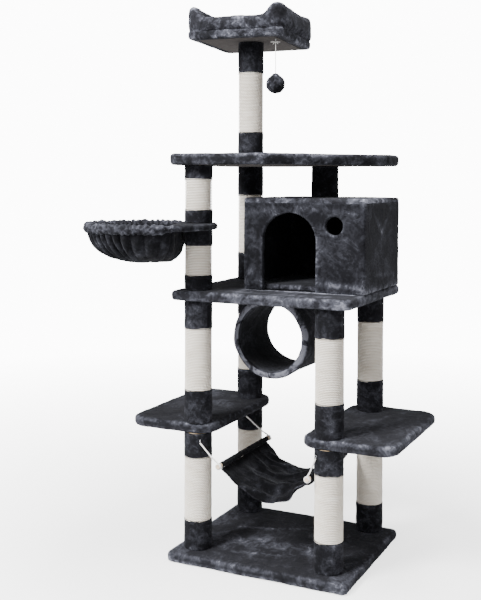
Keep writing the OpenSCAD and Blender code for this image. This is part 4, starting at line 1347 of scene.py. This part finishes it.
skin.transform(Matrix.Translation(tunnel_middle) @ Matrix.Rotation(-math.pi / 2, 4, "X"))
relief(skin, [(0.090, 0.0020), (0.028, 0.0012), (0.011, 0.0005)], 10.0)
points = read_points(skin) - tunnel_middle
reach = np.hypot(points[:, 0], points[:, 2])
lining = reach < tunnel_r - TUNNEL_WALL + 0.004
pressed = np.minimum(reach, tunnel_r - TUNNEL_WALL - LINING_CLEARANCE) / reach
points[:, 0] *= np.where(lining, pressed, 1)
points[:, 2] *= np.where(lining, pressed, 1)
write_points(skin, points + tunnel_middle)
tunnel = plush_piece("tunnel_plush", skin, TUNNEL_PLUSH)
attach(tunnel, "frame")
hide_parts("tunnel_cover")
print("tunnel", len(skin.polygons), "faces")

# %% [markdown]
# ## Basket
# The basket swivels on its post, so all of it rides on the basket body. Three pieces make it: a
# smooth arm where plush wraps the mounting board, a bag gathered into pleats, and a ruffle where
# the bag's cloth is rolled over the hoop and stitched, which puckers it into many small folds.
# The basket is built in its own directions, with +X from the post to the middle of the hoop.

# %% The basket's own directions
HOOP_R = 0.200
HOOP_REACH = 0.150
BASKET_TURN = math.radians(22)
# the ruffle's copy of the plush is lifted and the bag's dimmed: lit and shaded copies, painted
# light and shade
BASKET_PLUSH = plush("basket plush", 11.3, 0.62, 9.0, 40.0, contrast=0.8)
RUFFLE_PLUSH = plush("ruffle plush", 12.1, 1.50, 12.0, 70.0, edge=0.14, contrast=0.75)
hoop_low, hoop_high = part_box("basket_hoop")
post_xy = middle(solids("front_left_sleeves")[0])[:2]
BASKET_SPIN = (
    Matrix.Translation((*post_xy, (hoop_low[2] + hoop_high[2]) / 2))
    @ Matrix.Rotation(math.pi + BASKET_TURN, 4, "Z")
)
BAG_CHORD = 0.0655
BAG_DEPTH = 0.114
ARM_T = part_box("basket_hoop_cover")[1][2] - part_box("basket_hoop_cover")[0][2] - 0.0006


BACK_AT_RIM = 0.057
BACK_LEAN = 0.040
MIDDLE_SHIFT = 0.028
BAG_CORNER_SHARPNESS = 14


def back_at(down):
    """Distance from the post to the bag's flat back, which leans in towards the bottom."""
    return BACK_AT_RIM + BACK_LEAN * down ** 2.5


def bag_middle(down):
    return HOOP_REACH + MIDDLE_SHIFT * (1 - down ** 2)


def rim_reach(angle, down):
    """Distance from the bag's middle to its D-shaped section, in a direction."""
    c, s = math.cos(angle), math.sin(angle)
    offset = bag_middle(down) - HOOP_REACH
    radius = (HOOP_R - 0.001) * math.cos(down * math.pi / 2) ** 0.76 + 0.002
    to_hoop = -offset * c + math.sqrt(max(radius ** 2 - (offset * s) ** 2, 1e-8))
    to_back = (bag_middle(down) - back_at(down)) / -c if c < -1e-6 else 9.0
    sharp = BAG_CORNER_SHARPNESS
    return (to_hoop ** -sharp + to_back ** -sharp) ** (-1 / sharp)


# %% The gathered bag
PLEATS = 36
PLEAT_DEEP = 0.0100
SMOOTH_FROM, SMOOTH_TO = math.radians(95), math.radians(130)
BAG_TURNS = 620
BAG_ROWS = 44
BAG_WALL = 0.004


def pleat(angle, down):
    """Folds with rounded crests and sharp valleys that start at the rim and run together."""
    ring = Vector((math.cos(angle), math.sin(angle), 0))
    sway = noise.noise(ring * 1.4)
    wander = 0.9 * noise.noise(ring * 2.6 + Vector((0, 0, 1.7 * down)))
    main = 2 * abs(math.cos(PLEATS / 2 * angle + 3.5 * sway + wander)) ** 0.75 - 1.2
    broad = 2 * abs(math.cos(PLEATS / 5 * angle + 4.0 * sway + 0.8 * wander)) ** 0.8 - 1.2
    share = 0.75 + 0.5 * noise.noise(ring * 4.5 + Vector((0, 0, 1.2 * down)))
    gathered = smoothstep(0.05, 0.75, down)
    off_post = math.acos(math.cos(angle))
    taut = 1 - 0.6 * smoothstep(SMOOTH_FROM, SMOOTH_TO, off_post)
    return taut * share * (main * (1 - 0.45 * gathered) + broad * 0.55 * gathered)


def bag_point(angle, down, shrink):
    turn = down * math.pi / 2
    deep = PLEAT_DEEP * (0.62 + 0.38 * math.sin(math.pi * min(1, down * 1.4))) * (1 - down ** 5)
    push = deep * pleat(angle, down)
    radial = max(rim_reach(angle, down) - shrink + push * math.cos(turn * 0.8), 0.004)
    height = -(BAG_DEPTH - shrink) * math.sin(turn) ** 0.96 - 0.8 * push * math.sin(turn)
    return (bag_middle(down) + radial * math.cos(angle), radial * math.sin(angle), height)


def bag_mesh():
    points, faces = [], []
    for shrink in (0.0, BAG_WALL):
        for row in range(BAG_ROWS):
            down = row / BAG_ROWS
            for k in range(BAG_TURNS):
                points.append(bag_point(2 * math.pi * k / BAG_TURNS, down, shrink))
        points.append((HOOP_REACH, 0, -(BAG_DEPTH - shrink)))
    layer = BAG_ROWS * BAG_TURNS + 1
    for side in (0, 1):
        for row in range(BAG_ROWS - 1):
            for k in range(BAG_TURNS):
                n = (k + 1) % BAG_TURNS
                a, b = side * layer + row * BAG_TURNS, side * layer + (row + 1) * BAG_TURNS
                quad = (a + k, b + k, b + n, a + n)
                faces.append(quad if side == 0 else quad[::-1])
        last = side * layer + (BAG_ROWS - 1) * BAG_TURNS
        tip = side * layer + layer - 1
        for k in range(BAG_TURNS):
            n = (k + 1) % BAG_TURNS
            face = (last + k, tip, last + n)
            faces.append(face if side == 0 else face[::-1])
    for k in range(BAG_TURNS):
        n = (k + 1) % BAG_TURNS
        faces.append((k, n, layer + n, layer + k))
    mesh = mesh_of(points, faces)
    mesh.transform(BASKET_SPIN)
    return mesh


def surface_area(mesh):
    return sum(polygon.area for polygon in mesh.polygons)


bag = bag_mesh()
relief(bag, [(0.030, 0.0014), (0.010, 0.0007)], 11.0)
bag_cloth = plush_piece("basket_bag_cloth", bag, BASKET_PLUSH)
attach(bag_cloth, "basket")
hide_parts("basket_bag")
print("bag", len(bag.polygons), "faces,", round(surface_area(bag) / 2, 3), "m2 of cloth")

# %% The ruffle around the hoop
RUFFLE_WIDE, RUFFLE_TALL = 0.0135, 0.0150
RUFFLE_STEPS = 900
RUFFLE_SECTION = 26
RUFFLE_FOLDS = 130


def ruffle_mesh():
    """A fat puckered roll along the hoop, tapered into the arm at both ends."""
    half = math.acos((BAG_CHORD - 0.004 - HOOP_REACH) / HOOP_R)
    points, faces = [], []
    for i in range(RUFFLE_STEPS):
        share = i / (RUFFLE_STEPS - 1)
        angle = -half + 2 * half * share
        taper = 0.58 + 0.42 * float(smoothstep(0, 0.05, min(share, 1 - share)))
        wander = noise.noise(Vector((angle * 2.2, 0, 3)))
        pucker = math.sin(RUFFLE_FOLDS * angle / 2 + 6 * wander)
        puff = noise.noise(Vector((angle * 7.5, 5, 1)))
        for k in range(RUFFLE_SECTION):
            turn = 2 * math.pi * k / RUFFLE_SECTION
            local = noise.noise(Vector((angle * 16, 2.0 * math.cos(turn), 2.0 * math.sin(turn))))
            swell = 1 + 0.11 * pucker * (1 - 0.6 * local) + 0.20 * puff + 0.24 * local
            wide = RUFFLE_WIDE * taper * swell * math.cos(turn)
            tall = RUFFLE_TALL * taper * swell * math.sin(turn) - 0.0035 * taper
            radius = HOOP_R + wide
            points.append((HOOP_REACH + radius * math.cos(angle), radius * math.sin(angle), tall))
    for i in range(RUFFLE_STEPS - 1):
        for k in range(RUFFLE_SECTION):
            n = (k + 1) % RUFFLE_SECTION
            a, b = i * RUFFLE_SECTION, (i + 1) * RUFFLE_SECTION
            faces.append((a + k, b + k, b + n, a + n))
    faces.append(tuple(range(RUFFLE_SECTION)))
    last = (RUFFLE_STEPS - 1) * RUFFLE_SECTION
    faces.append(tuple(last + k for k in range(RUFFLE_SECTION - 1, -1, -1)))
    mesh = mesh_of(points, faces)
    mesh.transform(BASKET_SPIN)
    return mesh


ruffle = ruffle_mesh()
relief(ruffle, [(0.016, 0.0016), (0.007, 0.0008)], 12.0)
basket_ruffle = plush_piece("basket_rim_ruffle", ruffle, RUFFLE_PLUSH)
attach(basket_ruffle, "basket")
print("ruffle", len(ruffle.polygons), "faces")

# %% The smooth arm beside the post
ARM_R = HOOP_R + 0.0105


def arm_outline():
    chord = BAG_CHORD + 0.006
    half = math.acos((chord - HOOP_REACH) / ARM_R)
    start, stop = half, 2 * math.pi - half
    return [
        (HOOP_REACH + ARM_R * math.cos(start + (stop - start) * k / 60),
         ARM_R * math.sin(start + (stop - start) * k / 60))
        for k in range(61)
    ]


arm = slab(arm_outline(), -ARM_T / 2, ARM_T / 2, ARM_T / 2 - 0.0008)
arm = remeshed(arm, 0.004, 3)
arm.transform(BASKET_SPIN)
relief(arm, [(0.050, 0.0012), (0.014, 0.0006)], 13.0)
basket_arm = plush_piece("basket_arm_plush", arm, SLEEVE_PLUSH)
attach(basket_arm, "basket")
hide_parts("basket_hoop_cover")
print("arm", len(arm.polygons), "faces")

# %% [markdown]
# ## Hammock
# The hammock is one rectangle of plush. Each end is sewn into a channel that slides over a dowel,
# and because the cloth is wider than the dowel leaves room for, it bunches there into pleats that
# fan out over the sag. The sheet starts as a pleated arc and then hangs by simulation, pinned
# along both dowels, so its edges droop and its folds find their own way. The simulated sheet is
# thin, so a last pass adds the heavy folds and rippled hems of thick plush.

# %% Hammock sheet before it hangs
# the hammock's copy of the plush is dimmed most: a painted shaded copy of the one plush
HAMMOCK_PLUSH = plush("hammock plush", 14.2, 0.45, 9.0, 40.0, 0.7)
SHEET_COLUMNS = 90
SHEET_ROWS = 130
SHEET_SAG = 0.062
EDGE_SAG = 0.014
BELOW_DOWEL = 0.004
FAN, SWAY, SWELLING, CRUMPLING, HEM_WAVE = 0.0060, 0.0060, 0.0110, 0.0050, 0.0060
SAG_LEAN = 1.22
SAG_FULLNESS = 0.82
SHEET_T = 0.0036
cloth_low, cloth_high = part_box("hammock_cloth")
dowels = solids("hammock_dowels")
dowel_z = middle(dowels[0])[2]
dowel_r = (dowels[0][1][0] - dowels[0][0][0]) / 2
left_x, right_x = sorted(middle(dowel)[0] for dowel in dowels)
span = right_x - left_x
cloth_width = cloth_high[1] - cloth_low[1]


def sheet_start(across, along):
    """A place on the pleated arc; both arguments run from 0 to 1."""
    edge = (2 * along - 1) ** 2
    sag = SHEET_SAG + EDGE_SAG * edge
    arc = math.sin(math.pi * across ** SAG_LEAN) ** SAG_FULLNESS
    near_dowel = abs(2 * across - 1)
    middle_share = 1 - near_dowel
    folds = 5.5 + 3.0 * noise.noise(Vector((along * 2.2, 0, 2)))
    phase = 2 * math.pi * folds * along + 2.6 * noise.noise(Vector((across * 1.6, along * 3, 4)))
    uneven = 0.6 + noise.noise(Vector((along * 6, across, 7)))
    fan = FAN * smoothstep(0.10, 0.9, across) * uneven
    height = fan * math.sin(phase)
    height += SWAY * middle_share * math.sin(phase * 0.43 + 7.0 * across)
    height += SWELLING * middle_share * noise.noise(Vector((across * 3.4, along * 3.0, 9)))
    crumple = noise.noise(Vector((across * 9, along * 7, 12)))
    height += CRUMPLING * crumple * smoothstep(0, 0.2, middle_share)
    front_hem = float(smoothstep(0.90, 1.0, 1 - along))
    height += HEM_WAVE * front_hem * math.sin(15 * across + 1.3) * middle_share
    return (
        left_x + span * across,
        cloth_low[1] + cloth_width * along,
        dowel_z - dowel_r - BELOW_DOWEL - sag * arc + height,
    )


def sheet_mesh():
    points = [
        sheet_start(i / (SHEET_COLUMNS - 1), j / (SHEET_ROWS - 1))
        for i in range(SHEET_COLUMNS) for j in range(SHEET_ROWS)
    ]
    faces = []
    for i in range(SHEET_COLUMNS - 1):
        for j in range(SHEET_ROWS - 1):
            a, b = i * SHEET_ROWS + j, (i + 1) * SHEET_ROWS + j
            faces.append((a, b, b + 1, a + 1))
    return mesh_of(points, faces)


# %% Hang the sheet
HANG_FRAMES = 26
HANG_CAP = 0.030


def hung(mesh):
    start = read_points(mesh)
    sheet = piece("sheet", mesh, FELT)
    pins = sheet.vertex_groups.new(name="pins")
    last_column = (SHEET_COLUMNS - 1) * SHEET_ROWS
    pinned = [*range(SHEET_ROWS), *range(last_column, last_column + SHEET_ROWS)]
    pins.add(pinned, 1.0, "REPLACE")
    cloth = sheet.modifiers.new("hanging", "CLOTH")
    settings = cloth.settings
    settings.vertex_group_mass = "pins"
    settings.quality = 8
    settings.mass = 0.25
    settings.tension_stiffness = 30
    settings.compression_stiffness = 8
    settings.shear_stiffness = 6
    settings.bending_stiffness = 0.25
    cloth.collision_settings.use_collision = False
    cloth.point_cache.frame_start = 1
    cloth.point_cache.frame_end = HANG_FRAMES
    for step in range(1, HANG_FRAMES + 1):
        bpy.context.scene.frame_set(step)
    fallen = live_mesh(sheet)
    bpy.context.scene.frame_set(1)
    moved = read_points(fallen) - start
    reach = np.linalg.norm(moved, axis=1, keepdims=True)
    write_points(fallen, start + moved * np.minimum(1, HANG_CAP / np.maximum(reach, 1e-9)))
    return fallen


SWELL, CREASE, CRUMPLE, HEM_RIPPLE = 0.015, 0.006, 0.006, 0.005


def crumpled(mesh):
    """Heavy folds between the dowels, and hems that ripple on their own."""
    points, normals = read_points(mesh), read_normals(mesh)
    height = np.zeros(len(points))
    for k, (x, y, _) in enumerate(points):
        across = (x - left_x) / span
        along = (y - cloth_low[1]) / cloth_width
        loose = float(smoothstep(0.0, 0.22, across)) * float(smoothstep(0.0, 0.16, 1 - across))
        swell = noise.noise(Vector((across * 1.6, along * 4.2, 3.7)))
        crease = 1 - abs(noise.noise(Vector((across * 2.3 + along, along * 5.5 - across, 8.1)))) * 4
        crumple = noise.noise(Vector((across * 7.0, along * 8.0, 5.2)))
        hem = float(smoothstep(0.86, 1.0, abs(2 * along - 1)))
        ripple = math.sin(17 * across + 2.2 * math.sin(7 * across + along)) * hem
        folds = SWELL * swell + CREASE * max(crease, -0.5)
        height[k] = loose * (folds + CRUMPLE * crumple + HEM_RIPPLE * ripple)
    write_points(mesh, points + normals * height[:, None])
    return mesh


hammock_mesh = crumpled(hung(sheet_mesh()))
hammock_sheet = piece("hammock_sheet", hammock_mesh, HAMMOCK_PLUSH)
thick = hammock_sheet.modifiers.new("thickness", "SOLIDIFY")
thick.thickness = SHEET_T
thick.offset = 0
soft = hammock_sheet.modifiers.new("softness", "SUBSURF")
soft.levels = soft.render_levels = 1
hammock_mesh = live_mesh(hammock_sheet)
relief(hammock_mesh, [(0.030, 0.0018), (0.012, 0.0008)], 14.0)
hammock_sheet = plush_piece("hammock_sheet", hammock_mesh, HAMMOCK_PLUSH)
print("hammock", len(hammock_mesh.polygons), "faces")

# %% The channels over the dowels
CHANNEL_R = dowel_r + 0.0029
CHANNEL_INNER_R = dowel_r + 0.0002
CHANNEL_EDGE = 0.0014
RIPPLE = 0.0007
RIPPLE_LENGTH = 0.021
LEFT_RIPPLE_SHARE = 0.3
for name, x in (("hammock_left_channel", left_x), ("hammock_right_channel", right_x)):
    half = cloth_width / 2
    roll = wall_profile(CHANNEL_R, CHANNEL_INNER_R, -half, half, CHANNEL_EDGE, 0.003)
    mesh = swept_ring(roll, 40)
    turn = Matrix.Rotation(-math.pi / 2, 4, "X")
    place = Matrix.Translation((x, (cloth_low[1] + cloth_high[1]) / 2, dowel_z))
    mesh.transform(place @ turn)
    points = read_points(mesh)
    out = points - np.array((x, 0, dowel_z))
    out[:, 1] = 0
    reach = np.linalg.norm(out, axis=1)
    wander = np.array([4 * noise.noise(Vector((y * 14, x, 1))) for y in points[:, 1]])
    ripple = RIPPLE * np.sin(2 * math.pi * points[:, 1] / RIPPLE_LENGTH + wander)
    ripple *= (reach > (CHANNEL_R + dowel_r) / 2) * (LEFT_RIPPLE_SHARE if x == left_x else 1.0)
    points += out / np.maximum(reach, 1e-9)[:, None] * ripple[:, None]
    write_points(mesh, points)
    relief(mesh, [(0.016, 0.0006)], x)
    channel = piece(name, mesh, HAMMOCK_PLUSH)
    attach(channel, "hammock")
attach(hammock_sheet, "hammock")
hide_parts("hammock_cloth")

# %% [markdown]
# The cords are tied around the dowels with two turns each. The turns belong to the hammock.

# %% Turns around the dowels
def turns_route(x, y, radius, count, pitch):
    steps = 14 * count
    return [
        Vector((x + radius * math.cos(2 * math.pi * k / 14), y + pitch * (k / 14 - count / 2),
                dowel_z + radius * math.sin(2 * math.pi * k / 14)))
        for k in range(steps + 1)
    ]


for corner, (top, end) in HAMMOCK_CORD_ENDS.items():
    name = corner + "_cord_turns"
    route = turns_route(end[0], end[1], dowel_r + HAMMOCK_CORD / 2, 2, HAMMOCK_CORD * 1.02)
    turns = grow(name, cord_tree, WHITE_CORD, polyline(route), Radius=HAMMOCK_CORD / 2)
    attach(turns, "hammock")

# %% [markdown]
# ## Toy
# The ball is plush gathered over stuffing. It is round, but drawn up to a point where the cord
# goes in, with creases that run down from there.

# %% Toy ball
TOY_PLUSH = plush("toy plush", 15.5, 1.05, 18.0, 60.0)
BALL_R = (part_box("toy_ball")[1][0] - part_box("toy_ball")[0][0]) / 2
BALL_CREASES = 7


def ball_mesh(around=80, down=48):
    points = [tuple(BALL_MIDDLE + Vector((0, 0, BALL_R * 1.10)))]
    for row in range(1, down):
        tilt = math.pi * row / down
        for k in range(around):
            turn = 2 * math.pi * k / around
            crease = 0.030 * math.cos(BALL_CREASES * turn + 2.2 * tilt) * math.exp(-(tilt ** 2))
            swell = 0.985 + 0.115 * math.exp(-((tilt / 0.30) ** 2)) + crease * min(1, tilt * 3)
            radius = BALL_R * swell
            points.append(tuple(BALL_MIDDLE + radius * Vector(
                (math.sin(tilt) * math.cos(turn), math.sin(tilt) * math.sin(turn), math.cos(tilt))
            )))
    points.append(tuple(BALL_MIDDLE - Vector((0, 0, BALL_R))))
    faces = []
    for k in range(around):
        n = (k + 1) % around
        faces.append((0, 1 + k, 1 + n))
        for row in range(down - 2):
            a, b = 1 + row * around, 1 + (row + 1) * around
            faces.append((a + k, b + k, b + n, a + n))
        last = 1 + (down - 2) * around
        faces.append((last + k, len(points) - 1, last + n))
    return mesh_of(points, faces)


ball = ball_mesh()
relief(ball, [(0.022, 0.0016), (0.008, 0.0009)], 15.0)
toy_ball = plush_piece("toy_ball_plush", ball, TOY_PLUSH)
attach(toy_ball, "toy")
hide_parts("toy_ball")

# %% [markdown]
# ## Studio
# The floor is a pale disc that fades out before its edge, so no line shows where it stops. The
# world looks nearly white but lights the model more gently than it looks, and three large soft
# lights do the rest: the key from the front left and high up, which leaves the posts under the
# platforms in shade, a weak fill from the right, and one overhead for the tops.

# %% Floor, world and lights
FLOOR_R = 4.2
FLOOR_CLEAR = 0.7
FLOOR_SOLID = 0.82
FLOOR_SIDES = 96
floor_turns = [2 * math.pi * k / FLOOR_SIDES for k in range(FLOOR_SIDES)]
floor_rim = [(FLOOR_R * math.cos(turn), FLOOR_R * math.sin(turn), 0) for turn in floor_turns]
floor_mesh = mesh_of(floor_rim, [tuple(range(FLOOR_SIDES))])
floor_finish = Finish("studio floor")
floor_grain = floor_finish.noise(floor_finish.place, 3.0, 2.0)
floor_tone = floor_finish.ramp(floor_grain, [(0.3, (0.90, 0.90, 0.90)), (0.7, (0.93, 0.93, 0.93))])
away = floor_finish.add("ShaderNodeVectorMath", {0: floor_finish.place}, operation="LENGTH")
fade = floor_finish.add("ShaderNodeMapRange", {
    "Value": away.outputs["Value"], "From Min": FLOOR_CLEAR, "From Max": FLOOR_R - 0.4,
    "To Min": FLOOR_SOLID, "To Max": 0.0,
}).outputs["Result"]
floor_material = floor_finish.shade(base_color=floor_tone, roughness=0.9, alpha=fade)
floor = piece("floor", floor_mesh, floor_material)
floor.location.z = -0.0005

SEEN_STRENGTH = 12.0
AMBIENT_STRENGTH = 0.70
world = bpy.data.worlds.new("studio")
world.use_nodes = True
sky = world.node_tree.nodes["Background"]
sky.inputs["Color"].default_value = (1, 1, 1, 1)
seen = world.node_tree.nodes.new("ShaderNodeLightPath")
strength = world.node_tree.nodes.new("ShaderNodeMapRange")
strength.inputs["To Min"].default_value = AMBIENT_STRENGTH
strength.inputs["To Max"].default_value = SEEN_STRENGTH
world.node_tree.links.new(seen.outputs["Is Camera Ray"], strength.inputs["Value"])
world.node_tree.links.new(strength.outputs["Result"], sky.inputs["Strength"])
bpy.context.scene.world = world

AIM = Vector((0, 0, 0.9))
for name, spot, size, watts in (
    ("key", (-1.4, -3.0, 3.3), 1.3, 440),
    ("fill", (2.8, -1.6, 1.3), 1.8, 14),
    ("overhead", (0.0, -0.4, 3.9), 1.4, 150),
):
    lamp = bpy.data.lights.new(name, "AREA")
    lamp.size = size
    lamp.energy = watts
    stand = bpy.data.objects.new(name, lamp)
    stand.location = spot
    stand.rotation_euler = (AIM - Vector(spot)).to_track_quat("-Z", "Y").to_euler()
    bpy.context.scene.collection.objects.link(stand)
